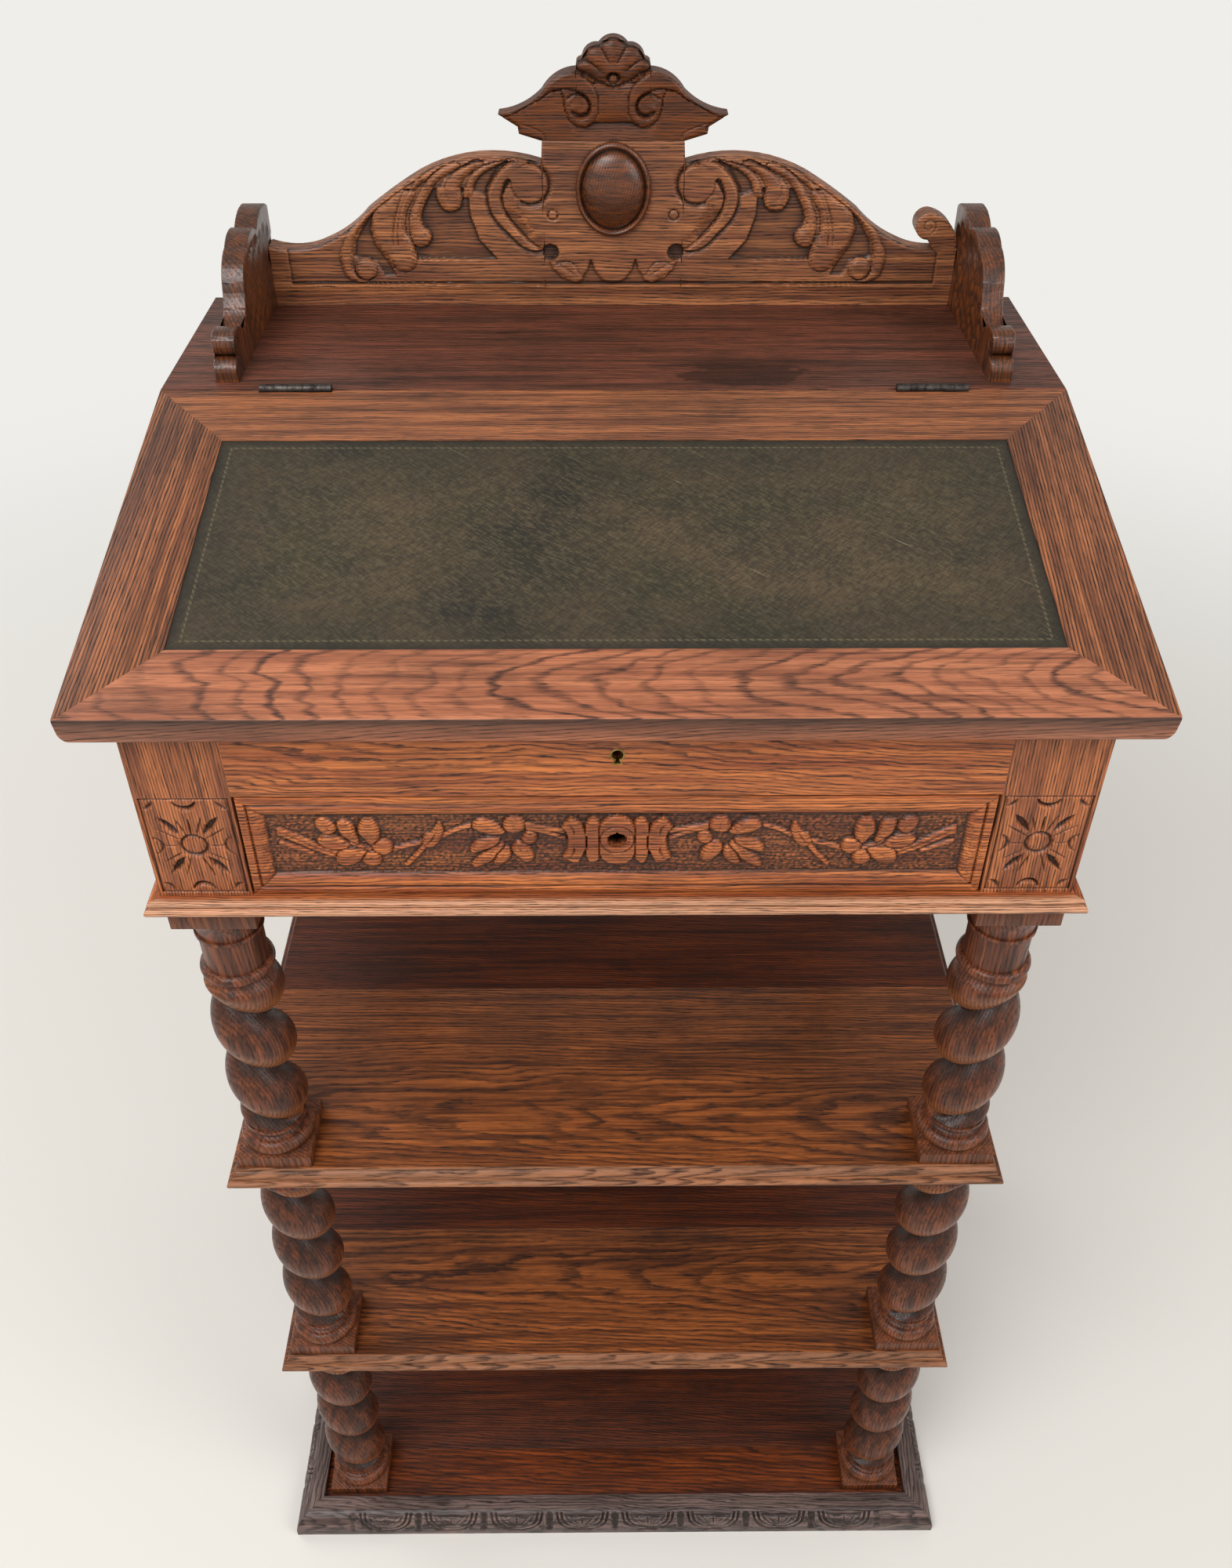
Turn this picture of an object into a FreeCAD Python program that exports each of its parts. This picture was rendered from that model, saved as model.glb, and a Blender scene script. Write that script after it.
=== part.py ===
# Clerk's standing desk: a sloped writing box with a leather-lined lid and one
# drawer, carried on three tiers of barley-twist columns with open shelves
# between them, and a carved gallery with scrolled brackets along the back.
#
# Frame: +Z up, the front faces -Y, +X to the right, the origin on the floor
# in the middle of the base. All sizes are in millimetres and degrees.

import FreeCAD
import Part
import Sketcher
import math
import os
import re
from FreeCAD import Placement, Rotation, Vector

doc = FreeCAD.newDocument("ClerksDesk")
sheet = doc.addObject("Spreadsheet::Sheet", "Sizes")

# ---------------------------------------------------------------------------
# Driving sizes: alias, value, meaning
# ---------------------------------------------------------------------------
SIZES = {
    # base
    "base_width": (714, "across the skirting"),
    "base_depth": (538, "front of the skirting to the back plane"),
    "skirting_height": (30, "skirting above the floor"),
    "skirting_thick": (29, "front to back of the skirting moulding"),
    "skirting_toe": (8, "upright foot below the ovolo"),
    "skirting_flat": (7, "flat rim on top of the skirting"),
    "skirting_quirk": (1.2, "height of each small step beside the ovolo"),
    "base_board_thick": (16, "bottom board"),
    "base_board_top": (20, "top face of the bottom board above the floor"),
    "base_front_board": (57, "front bottom board, behind the skirting"),
    "rear_rail_thick": (17, "rail behind the bottom boards"),
    # shelves
    "shelf_setback": (25, "side edges of the shelves, in from the skirting"),
    "shelf_front_setback": (26, "front edge of the shelves, behind the skirting's front"),
    "shelf_thick": (18, "shelf boards"),
    "low_front_board": (150, "front board of the low shelf"),
    "high_front_board": (212, "front board of the high shelf"),
    "nose_radius": (3.5, "rounded nose along the foot of the shelf edge"),
    "groove_depth": (4.5, "groove above the nose, in from the edge"),
    "groove_width": (1.5, "height of that groove"),
    "edge_step": (8.5, "top fillet of the shelf edge, in from the edge"),
    "edge_fillet": (3, "height of that fillet"),
    # columns
    "plinth_margin": (6.75, "plinths of the columns, in from the skirting's rim"),
    "column_rear": (41, "rear column centres, from the back"),
    "lower_height": (293, "lower columns"),
    "middle_height": (293, "middle columns"),
    "upper_height": (304, "upper columns"),
    "plinth_side": (62.5, "square plinth and abacus"),
    "plinth_height": (13, "plinth"),
    "torus_radius": (7, "section radius of the big base ring"),
    "torus_circle": (24, "radius of that ring's centre line"),
    "scotia_height": (8, "hollow above the ring"),
    "scotia_depth": (4, "how far the hollow cuts in"),
    "collar_radius": (26, "turned collars"),
    "collar_height": (3, "turned collars"),
    "ring_radius": (5, "section radius of the ring under the capital"),
    "ring_circle": (23.5, "radius of that ring's centre line"),
    "neck_radius": (24, "plain neck of the upper columns"),
    "neck_height": (33, "plain neck of the upper columns"),
    "echinus_radius": (31, "widest turning under the abacus"),
    "echinus_tall": (22, "flare of the upper capitals"),
    "echinus_short": (9, "flare of the other capitals"),
    "abacus_tall": (17, "abacus of the upper columns"),
    "abacus_short": (8, "abacus of the other columns"),
    "twist_pitch": (66, "one turn of the barley twist"),
    "twist_crest": (31, "outer radius of the twist"),
    "twist_root": (15, "radius at the bottom of the groove"),
    "twist_breadth": (27, "half breadth of the wound bine"),
    "twist_taper": (13, "length over which the twist dies out"),
    # case
    "case_setback": (35, "sides of the case, in from the skirting"),
    "case_front_setback": (37, "front of the case, behind the skirting's front"),
    "case_height": (241, "top of the case floor to the top of the desk"),
    "case_floor_thick": (16, "moulded bottom of the case"),
    "moulding_reach": (11, "case moulding beyond the case"),
    "moulding_strip": (24, "width of each moulding strip"),
    "bead_radius": (3.5, "lower bead of the case moulding"),
    "small_bead_radius": (2.5, "upper bead of the case moulding"),
    "bead_foot": (3.5, "flat below the lower bead"),
    "case_side_thick": (18, "case sides and back"),
    "stile_width": (65, "front stiles beside the drawer"),
    "stile_thick": (20, "front frame"),
    "panel_line": (2, "width of the incised line"),
    "panel_line_depth": (1.5, "depth of the incised line"),
    "panel_inset": (3, "incised square, in from the edges of the stile"),
    "drawer_opening": (90.3, "height of the drawer opening"),
    "compartment_floor_thick": (8, "board between drawer and lid compartment"),
    "guide_height": (20, "drawer guides"),
    # top and lid
    "top_setback": (9.5, "ends of the top shelf and the lid, in from the skirting"),
    "top_depth": (195, "fixed top shelf, from the back"),
    "top_thick": (22, "top shelf"),
    "lid_overhang": (25.5, "front edge of the lid beyond the case"),
    "lid_thick": (22, "lid frame"),
    "lid_slope": (11.7, "fall of the closed lid in degrees"),
    "lid_gap": (1, "between the lid and the top shelf"),
    "lid_rest_gap": (0.3, "between the closed lid and the case"),
    "lid_rear_rail": (62, "hinge rail of the lid"),
    "lid_front_rail": (60.5, "front rail of the lid"),
    "lid_stile": (57.5, "side members of the lid"),
    "lid_round": (10, "rounded lower edges at the ends of the lid and the top"),
    "lid_edge_low": (3, "rounding under the front edge of the lid"),
    "lid_edge_top": (2, "rounding over the front edge of the lid"),
    "panel_thick": (12, "board under the leather"),
    "leather_thick": (1.2, "leather"),
    "leather_drop": (0.8, "leather below the frame"),
    # hinges
    "hinge_setback": (103.5, "hinge centres, in from the ends of the lid"),
    "hinge_length": (55, "each butt hinge"),
    "hinge_barrel": (3.25, "barrel radius"),
    "hinge_pin": (1.6, "pin radius"),
    "hinge_rise": (1, "barrel axis above the top"),
    "hinge_leaf_thick": (1.5, "leaf"),
    "hinge_leaf_proud": (0.3, "leaf out of its mortise"),
    "hinge_leaf_height": (16, "leaf below the barrel axis"),
    "hinge_play": (0.3, "between neighbouring knuckles"),
    "hinge_clear": (0.4, "round the barrel and the pin"),
    # gallery
    "gallery_setback": (57.5, "ends of the carved board, in from the ends of the top"),
    "gallery_height": (207, "carved board above the top"),
    "gallery_joint": (133, "joint between the board and its crest"),
    "gallery_thick": (20, "carved board"),
    "boss_height": (96, "centre of the oval boss above the top"),
    "boss_rim_width": (62, "oval rim"),
    "boss_rim_height": (73, "oval rim"),
    "boss_rim_thick": (5, "oval rim"),
    "boss_width": (52, "domed oval"),
    "boss_tall": (64, "domed oval"),
    "boss_swell": (11, "domed oval, out of the board"),
    "curl_radius": (11, "curl over the right end of the board"),
    "curl_setback": (25.5, "middle of the curl, in from the end of the board"),
    "peg_radius": (3, "pegs beside the boss"),
    "peg_spread": (98, "between the pegs"),
    "peg_height": (73, "pegs above the top"),
    "peg_proud": (1.5, "pegs out of the board"),
    "bracket_thick": (18.5, "scrolled brackets"),
    "bracket_setback": (13, "toe of the brackets, behind the front of the top shelf"),
    "bracket_height": (84, "scrolled brackets"),
    # drawer
    "drawer_clear": (1, "beside the drawer front"),
    "drawer_lift": (0.3, "under the drawer"),
    "drawer_top_clear": (1.5, "above the drawer front"),
    "drawer_front_thick": (20, "drawer front"),
    "drawer_rear_gap": (43, "behind the closed drawer"),
    "drawer_side_thick": (10, "drawer sides and back"),
    "drawer_side_clear": (2, "between drawer sides and guides"),
    "drawer_side_height": (78, "drawer sides"),
    "drawer_bottom_thick": (6, "drawer bottom"),
    "drawer_bottom_lift": (8, "drawer bottom above the lower edge"),
    "field_margin": (17.5, "frame round the carved field"),
    "field_depth": (5, "carved field below its frame"),
    # locks
    "keyhole_radius": (7, "open keyhole of the drawer"),
    "keyhole_height": (49, "drawer keyhole above the case floor"),
    "lock_width": (52, "lock cases"),
    "lock_height": (38, "drawer lock case"),
    "lock_thick": (9, "drawer lock case"),
    "lock_wall": (1.5, "plates of the lock cases"),
    "bolt_width": (18, "drawer bolt"),
    "bolt_thick": (4, "bolts"),
    "bolt_throw": (6, "travel of each bolt"),
    "bolt_clear": (0.5, "round each bolt"),
    "lid_keyhole_height": (34.3, "head of the lid keyhole above the drawer opening"),
    "escutcheon_radius": (5, "head of the brass thread escutcheon"),
    "escutcheon_neck": (2.2, "middle to side of its neck"),
    "escutcheon_foot": (3.5, "middle to side of its foot"),
    "escutcheon_drop": (8.2, "middle of its head to the end of its foot"),
    "escutcheon_wall": (1.2, "brass thread escutcheon"),
    "escutcheon_depth": (5, "brass thread escutcheon"),
    "lid_lock_thick": (16, "lid lock case"),
    "lid_lock_drop": (4, "top of the lid lock case below the lid"),
    "lid_bolt_length": (20, "lid lock bolt"),
    "eyelet_width": (8, "eyelet of the strike plate, front to back"),
    "eyelet_thick": (3, "eyelet of the strike plate"),
    "eyelet_drop": (18, "eyelet below the lid"),
    "eyelet_offset": (9, "eyelet to the right of the keyhole"),
    "strike_plate_thick": (1.5, "plate let into the lid"),
}

sheet.set("A1", "size")
sheet.set("B1", "value")
sheet.set("C1", "meaning")
for row, (alias, (value, meaning)) in enumerate(SIZES.items(), start=2):
    sheet.set("A%d" % row, alias)
    sheet.set("B%d" % row, str(value))
    sheet.set("C%d" % row, meaning)
    sheet.setAlias("B%d" % row, alias)
doc.recompute()


# ---------------------------------------------------------------------------
# Expressions
# ---------------------------------------------------------------------------
def link(text):
    """Point every size named in an expression at its spreadsheet cell."""
    return re.sub(r"[a-z_]+", lambda word: ("Sizes." if word.group() in SIZES else "") + word.group(), text)


def bind(item, prop, text):
    """Bind one property of an object to an expression over the sizes."""
    item.setExpression(prop, link(text))


def number(text):
    """Work out an expression over the sizes now."""
    value = sheet.evalExpression(link(text))
    return float(getattr(value, "Value", value))


# Levels and planes that several pieces share
BACK = "base_depth / 2"
BASE_HALF = "base_width / 2"
SHELF_HALF = f"({BASE_HALF} - shelf_setback)"
CASE_HALF = f"({BASE_HALF} - case_setback)"
TOP_HALF = f"({BASE_HALF} - top_setback)"
GALLERY_HALF = f"({TOP_HALF} - gallery_setback)"
HINGE_CENTRE = f"({TOP_HALF} - hinge_setback)"
COLUMN_SETBACK = "(skirting_thick + plinth_margin + plinth_side / 2)"
LOW_UNDER = "(base_board_top + lower_height)"
LOW_TOP = f"({LOW_UNDER} + shelf_thick)"
HIGH_UNDER = f"({LOW_TOP} + middle_height)"
HIGH_TOP = f"({HIGH_UNDER} + shelf_thick)"
CASE_UNDER = f"({HIGH_TOP} + upper_height)"
CASE_FLOOR = f"({CASE_UNDER} + case_floor_thick)"
TOP = f"({CASE_FLOOR} + case_height)"
OPENING_TOP = f"({CASE_FLOOR} + drawer_opening)"
COMPARTMENT = f"({OPENING_TOP} + compartment_floor_thick)"
CASE_FRONT = f"(case_front_setback - {BACK})"
FRAME_REAR = f"({CASE_FRONT} + stile_thick)"
SHELF_FRONT = f"(shelf_front_setback - {BACK})"
HINGE_LINE = f"({BACK} - top_depth - lid_gap / 2)"
HINGE_AXIS = f"({TOP} + hinge_rise)"
OPENING_HALF = f"({CASE_HALF} - stile_width)"
LID_LENGTH = f"(({HINGE_LINE} - {CASE_FRONT} + lid_overhang) / cos(lid_slope * 1 deg))"
BRACKET_DEPTH = "(top_depth - bracket_setback)"


def under_lid(depth):
    """Height of the case top below the closed lid at a distance along Y."""
    return (
        f"({TOP} - ({HINGE_LINE} - ({depth})) * tan(lid_slope * 1 deg)"
        " - lid_thick / cos(lid_slope * 1 deg) - lid_rest_gap)"
    )


# ---------------------------------------------------------------------------
# Building blocks
# ---------------------------------------------------------------------------
PLANES = {
    "XY": Rotation(),
    "XZ": Rotation(Vector(1, 0, 0), 90),
    "YZ": Rotation(Vector(1, 1, 1), 120),
}
LEVEL_AXIS = {"XY": "z", "XZ": "y", "YZ": "x"}
nodes = []


def node(item, label):
    """Name an object as one of the desk's finished pieces."""
    item.Label = label
    nodes.append(item)
    return item


def box(name, across, depth, height):
    """Make a block from its low and high expressions along X, Y and Z."""
    block = doc.addObject("Part::Box", name)
    spans = zip(("Length", "Width", "Height"), "xyz", (across, depth, height))
    for side, axis, (low, high) in spans:
        bind(block, side, f"({high}) - ({low})")
        bind(block, f"Placement.Base.{axis}", low)
    return block


def cylinder(name, radius, length, start, direction):
    """Make a rod that starts at a point and runs along a direction."""
    rod = doc.addObject("Part::Cylinder", name)
    rod.Placement = Placement(Vector(), Rotation(Vector(0, 0, 1), direction))
    bind(rod, "Radius", radius)
    bind(rod, "Height", length)
    for axis, text in zip("xyz", start):
        bind(rod, f"Placement.Base.{axis}", text)
    return rod


def via(across, up):
    """Mark a point that an arc passes through on its way to the next corner."""
    return ("via", across, up)


def draw(sketch, outline):
    """Draw a closed outline of lines and arcs, each point bound to the sizes."""
    corners = [point for point in outline if point[0] != "via"]
    corner_of = [index for index, point in enumerate(outline) if point[0] != "via"]
    ends = []
    for turn, start in enumerate(corners):
        finish = corners[(turn + 1) % len(corners)]
        a = Vector(number(start[0]), number(start[1]), 0)
        b = Vector(number(finish[0]), number(finish[1]), 0)
        middle = outline[(corner_of[turn] + 1) % len(outline)]
        if middle[0] != "via":
            sketch.addGeometry(Part.LineSegment(a, b), False)
            ends.append((1, 2))
            continue
        m = Vector(number(middle[1]), number(middle[2]), 0)
        forward = (m - a).cross(b - m).z > 0
        sketch.addGeometry(Part.ArcOfCircle(a, m, b) if forward else Part.ArcOfCircle(b, m, a), False)
        ends.append((1, 2) if forward else (2, 1))
    for turn, start in enumerate(corners):
        following = (turn + 1) % len(corners)
        meeting = Sketcher.Constraint("Coincident", turn, ends[turn][1], following, ends[following][0])
        sketch.addConstraint(meeting)
        pin_point(sketch, turn, ends[turn][0], start[0], start[1])
        middle = outline[(corner_of[turn] + 1) % len(outline)]
        if middle[0] == "via":
            m = Vector(number(middle[1]), number(middle[2]), 0)
            mark = sketch.addGeometry(Part.Point(m), True)
            pin_point(sketch, mark, 1, middle[1], middle[2])
            sketch.addConstraint(Sketcher.Constraint("PointOnObject", mark, 1, turn))


def pin_point(sketch, element, end, across, up):
    """Hold one sketch point at the distances that two expressions give."""
    for kind, text in (("DistanceX", across), ("DistanceY", up)):
        rule = Sketcher.Constraint(kind, -1, 1, element, end, number(text))
        bind(sketch, f"Constraints[{sketch.addConstraint(rule)}]", text)


def outline_sketch(name, plane, level, outline):
    """Make a sketch parallel to a main plane, at a level along its normal."""
    sketch = doc.addObject("Sketcher::SketchObject", name)
    sketch.Placement = Placement(Vector(), PLANES[plane])
    bind(sketch, f"Placement.Base.{LEVEL_AXIS[plane]}", level)
    draw(sketch, outline)
    return sketch


def extrude(name, plane, level, length, outline):
    """Extrude an outline: upwards from XY, forwards from XZ, rightwards from YZ."""
    prism = doc.addObject("Part::Extrusion", name)
    prism.Base = outline_sketch(name + "_outline", plane, level, outline)
    prism.DirMode = "Normal"
    prism.Solid = True
    bind(prism, "LengthFwd", length)
    return prism


def revolve(name, outline):
    """Turn an outline of radius and height about the vertical axis."""
    turning = doc.addObject("Part::Revolution", name)
    turning.Source = outline_sketch(name + "_outline", "XZ", "0", outline)
    turning.Axis = Vector(0, 0, 1)
    turning.Angle = 360
    turning.Solid = True
    return turning


def common(name, *shapes):
    """Keep what several shapes share."""
    item = doc.addObject("Part::MultiCommon", name)
    item.Shapes = list(shapes)
    return item


def fuse(name, *shapes):
    """Join several shapes."""
    item = doc.addObject("Part::MultiFuse", name)
    item.Shapes = list(shapes)
    return item


def cut(name, base, tool):
    """Take one shape out of another."""
    item = doc.addObject("Part::Cut", name)
    item.Base = base
    item.Tool = tool
    return item


def place(item, across, depth, height):
    """Bind the position of a finished piece."""
    for axis, text in zip("xyz", (across, depth, height)):
        bind(item, f"Placement.Base.{axis}", text)
    return item


def rectangle(left, right, low, high):
    """Corners of a rectangle, anticlockwise."""
    return [(left, low), (right, low), (right, high), (left, high)]


# ---------------------------------------------------------------------------
# Moulded edges: points of distance in from the edge and height
# ---------------------------------------------------------------------------
def shelf_edge():
    """Rounded nose, groove, hollow slope and a top fillet."""
    nose = "2 * nose_radius"
    sill = f"{nose} + groove_width"
    crown = "shelf_thick - edge_fillet"
    return [
        ("nose_radius", "0"),
        via("0", "nose_radius"),
        ("nose_radius", nose),
        ("groove_depth", nose),
        ("groove_depth", sill),
        via("groove_depth * 0.7 + edge_step * 0.3", f"({sill}) * 0.4 + ({crown}) * 0.6"),
        ("edge_step", crown),
        ("edge_step", "shelf_thick"),
    ]


def case_edge():
    """Two beads, the upper one smaller and set back."""
    first = "bead_foot + 2 * bead_radius"
    second = f"{first} + 2 * small_bead_radius"
    return [
        ("2 * bead_radius", "0"),
        ("bead_radius", "bead_foot"),
        via("0", "bead_foot + bead_radius"),
        ("bead_radius", first),
        ("2 * small_bead_radius", first),
        via("small_bead_radius", f"{first} + small_bead_radius"),
        ("2 * small_bead_radius", second),
        ("moulding_reach - 1", second),
        ("moulding_reach - 1", "case_floor_thick"),
    ]


def skirting_edge():
    """Upright toe, a broad ovolo, two small steps and a flat rim."""
    rim = "skirting_thick - skirting_flat"
    shoulder = "skirting_thick / 2"
    spring = "skirting_height - 2 * skirting_quirk"
    return [
        ("0", "0"),
        ("0", "skirting_toe"),
        via(f"{shoulder} * 0.24", f"skirting_toe * 0.4 + ({spring}) * 0.6"),
        (shoulder, spring),
        (shoulder, f"{spring} + skirting_quirk"),
        (rim, f"{spring} + skirting_quirk"),
        (rim, "skirting_height"),
        ("skirting_thick", "skirting_height"),
        ("skirting_thick", "0"),
    ]


def shifted(edge, across, up):
    """Move edge points; the first text places the distance, the second the height."""
    moved = []
    for point in edge:
        inward, height = point[-2:]
        pair = (across.format(f"({inward})"), f"({up}) + ({height})")
        moved.append(via(*pair) if point[0] == "via" else pair)
    return moved


def both_sides(edge, half, up):
    """Outline with the same moulded edge on the left and the right."""
    right = shifted(edge, f"({half}) - {{}}", up)
    left = shifted(edge, f"{{}} - ({half})", up)
    return right + left[::-1]


def to_the_back(edge, front, rear, up, top):
    """Outline with a moulded front edge and a plain rear end."""
    return shifted(edge, f"({front}) + {{}}", up) + [(rear, top), (rear, up)]


# ---------------------------------------------------------------------------
# Base
# ---------------------------------------------------------------------------
def build_base():
    """Bottom boards, the mitred skirting on three sides and the rear rail."""
    half = f"({BASE_HALF})"
    front = f"-({BACK})"
    inner = f"({half} - skirting_thick)"
    inner_front = f"({front} + skirting_thick)"
    rail_front = f"({BACK} - rear_rail_thick)"
    joint = f"({inner_front} + base_front_board)"
    under = "base_board_top - base_board_thick"
    across = (f"-{inner}", inner)
    node(box("BaseBoardFront", across, (inner_front, joint), (under, "base_board_top")), "base_board_front")
    node(box("BaseBoardRear", across, (joint, rail_front), (under, "base_board_top")), "base_board_rear")
    node(box("BaseRearRail", across, (rail_front, BACK), ("0", "base_board_top")), "base_rear_rail")

    front_run = extrude("SkirtingFrontRun", "YZ", f"-{half}", "base_width",
                        shifted(skirting_edge(), f"{front} + {{}}", "0"))
    front_mitre = extrude("SkirtingFrontMitre", "XY", "0", "skirting_height", [
        (f"-{half}", front), (half, front), (inner, inner_front), (f"-{inner}", inner_front),
    ])
    node(common("SkirtingFront", front_run, front_mitre), "skirting_front")
    for side, sign in (("Left", "-1"), ("Right", "1")):
        run = extrude(f"Skirting{side}Run", "XZ", BACK, "base_depth",
                      shifted(skirting_edge(), f"{sign} * ({half} - {{}})", "0"))
        mitre = extrude(f"Skirting{side}Mitre", "XY", "0", "skirting_height", [
            (f"{sign} * {half}", front), (f"{sign} * {half}", BACK),
            (f"{sign} * {inner}", BACK), (f"{sign} * {inner}", inner_front),
        ])
        node(common(f"Skirting{side}", run, mitre), f"skirting_{side.lower()}")


# ---------------------------------------------------------------------------
# Shelves
# ---------------------------------------------------------------------------
def build_shelf(title, label, under, front_board):
    """One shelf: a front board moulded on three edges and a rear board."""
    joint = f"({SHELF_FRONT} + {front_board})"
    section = both_sides(shelf_edge(), SHELF_HALF, under)
    run = extrude(f"{title}FrontRun", "YZ", f"-{SHELF_HALF}", f"2 * {SHELF_HALF}",
                  to_the_back(shelf_edge(), SHELF_FRONT, joint, under, f"{under} + shelf_thick"))
    sides = extrude(f"{title}FrontSides", "XZ", joint, front_board, section)
    node(common(f"{title}FrontBoard", run, sides), f"{label}_front_board")
    node(extrude(f"{title}RearBoard", "XZ", BACK, f"{BACK} - {joint}", section), f"{label}_rear_board")


# ---------------------------------------------------------------------------
# Barley-twist columns
# ---------------------------------------------------------------------------
def turned_base(name):
    """Big ring, hollow and collar turned above the plinth."""
    ring_top = "plinth_height + 2 * torus_radius"
    hollow = f"{ring_top} + scotia_height / 4"
    collar = f"{ring_top} + scotia_height * 1.25"
    inner = "collar_radius - 0.5"
    return revolve(name, [
        ("0", "plinth_height"),
        ("torus_circle", "plinth_height"),
        via("torus_circle + torus_radius", "plinth_height + torus_radius"),
        ("torus_circle", ring_top),
        (inner, ring_top),
        (inner, hollow),
        via(f"{inner} - scotia_depth", f"{hollow} + scotia_height / 2"),
        (inner, collar),
        ("collar_radius", collar),
        ("collar_radius", f"{collar} + collar_height"),
        ("0", f"{collar} + collar_height"),
    ])


SHAFT_FOOT = "(plinth_height + 2 * torus_radius + scotia_height * 1.25 + collar_height)"


def turned_cap(name, start, tall):
    """Ring and flared capital; the tall one has a neck and a collar between."""
    ring_top = f"{start} + 2 * ring_radius"
    outline = [
        ("0", start),
        ("ring_circle", start),
        via("ring_circle + ring_radius", f"{start} + ring_radius"),
        ("ring_circle", ring_top),
    ]
    flare = ring_top
    if tall:
        neck_top = f"{ring_top} + neck_height"
        flare = f"{neck_top} + collar_height"
        outline += [
            ("neck_radius", ring_top),
            ("neck_radius", neck_top),
            ("collar_radius", neck_top),
        ]
    rise = "echinus_tall" if tall else "echinus_short"
    outline += [
        ("collar_radius", flare),
        via("collar_radius * 0.3 + echinus_radius * 0.7", f"{flare} + {rise} * 0.45"),
        ("echinus_radius", f"{flare} + {rise}"),
        ("0", f"{flare} + {rise}"),
    ]
    return revolve(name, outline)


def twisted_shaft(name, foot, head, left_hand):
    """Wind an oval bine about the axis and let it die out at both ends.

    Each section is an ellipse whose centre circles the axis once per pitch;
    its near side leaves the groove, its far side the rounded crest.
    """
    crest, root = number("twist_crest"), number("twist_root")
    pitch, breadth, taper = number("twist_pitch"), number("twist_breadth"), number("twist_taper")
    collar, neck = number("collar_radius"), number("neck_radius")
    offset, reach = (crest - root) / 2, (crest + root) / 2
    low, high = foot - 2, head + 2
    steps = int((high - low) / pitch * 6) + 1
    sections = []
    for step in range(steps + 1):
        height = low + (high - low) * step / steps
        turn = 2 * math.pi * height / pitch
        angle = -turn if left_hand else math.pi + turn
        outward = Vector(math.cos(angle), math.sin(angle), 0)
        across = Vector(-math.sin(angle), math.cos(angle), 0)
        centre = outward * offset + Vector(0, 0, height)
        oval = Part.Ellipse(centre + across * breadth, centre + outward * reach, centre)
        sections.append(Part.Wire([oval.toShape()]))
    bine = Part.makeLoft(sections, True, False)

    rim = crest + 0.5
    knee = (collar + rim) / 2
    edges = [
        Part.makeLine(Vector(0, 0, foot), Vector(collar - 1, 0, foot)),
        Part.Arc(Vector(collar - 1, 0, foot), Vector(knee, 0, foot + taper * 0.3),
                 Vector(rim, 0, foot + taper)).toShape(),
        Part.makeLine(Vector(rim, 0, foot + taper), Vector(rim, 0, head - taper)),
        Part.Arc(Vector(rim, 0, head - taper), Vector(knee, 0, head - taper * 0.3),
                 Vector(neck, 0, head)).toShape(),
        Part.makeLine(Vector(neck, 0, head), Vector(0, 0, head)),
        Part.makeLine(Vector(0, 0, head), Vector(0, 0, foot)),
    ]
    envelope = Part.Face(Part.Wire(edges)).revolve(Vector(), Vector(0, 0, 1), 360)
    shaft = doc.addObject("Part::Feature", name)
    shaft.Shape = bine.common(envelope).Solids[0]
    return shaft


def build_columns(tier, level, height, tall):
    """Four columns of one tier; the twists of left and right are mirrored."""
    cap_rise = "neck_height + collar_height + echinus_tall" if tall else "echinus_short"
    abacus = "abacus_tall" if tall else "abacus_short"
    head = f"({height} - {abacus} - ({cap_rise}) - 2 * ring_radius)"
    square = ("-plinth_side / 2", "plinth_side / 2")
    title = tier.title()
    plinth = box(f"{title}Plinth", square, square, ("0", "plinth_height"))
    foot = turned_base(f"{title}TurnedBase")
    cap = turned_cap(f"{title}TurnedCap", head, tall)
    block = box(f"{title}Abacus", square, square, (f"{height} - {abacus}", height))
    for side, sign in (("left", "-"), ("right", "")):
        shaft = twisted_shaft(f"{title}{side.title()}Shaft", number(SHAFT_FOOT), number(head), side == "left")
        for row, depth in (("front", f"{COLUMN_SETBACK} - {BACK}"), ("rear", f"{BACK} - column_rear")):
            column = fuse(f"{title}{row.title()}{side.title()}", plinth, foot, shaft, cap, block)
            place(column, f"{sign}({BASE_HALF} - {COLUMN_SETBACK})", depth, level)
            node(column, f"column_{tier}_{row}_{side}")


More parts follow.
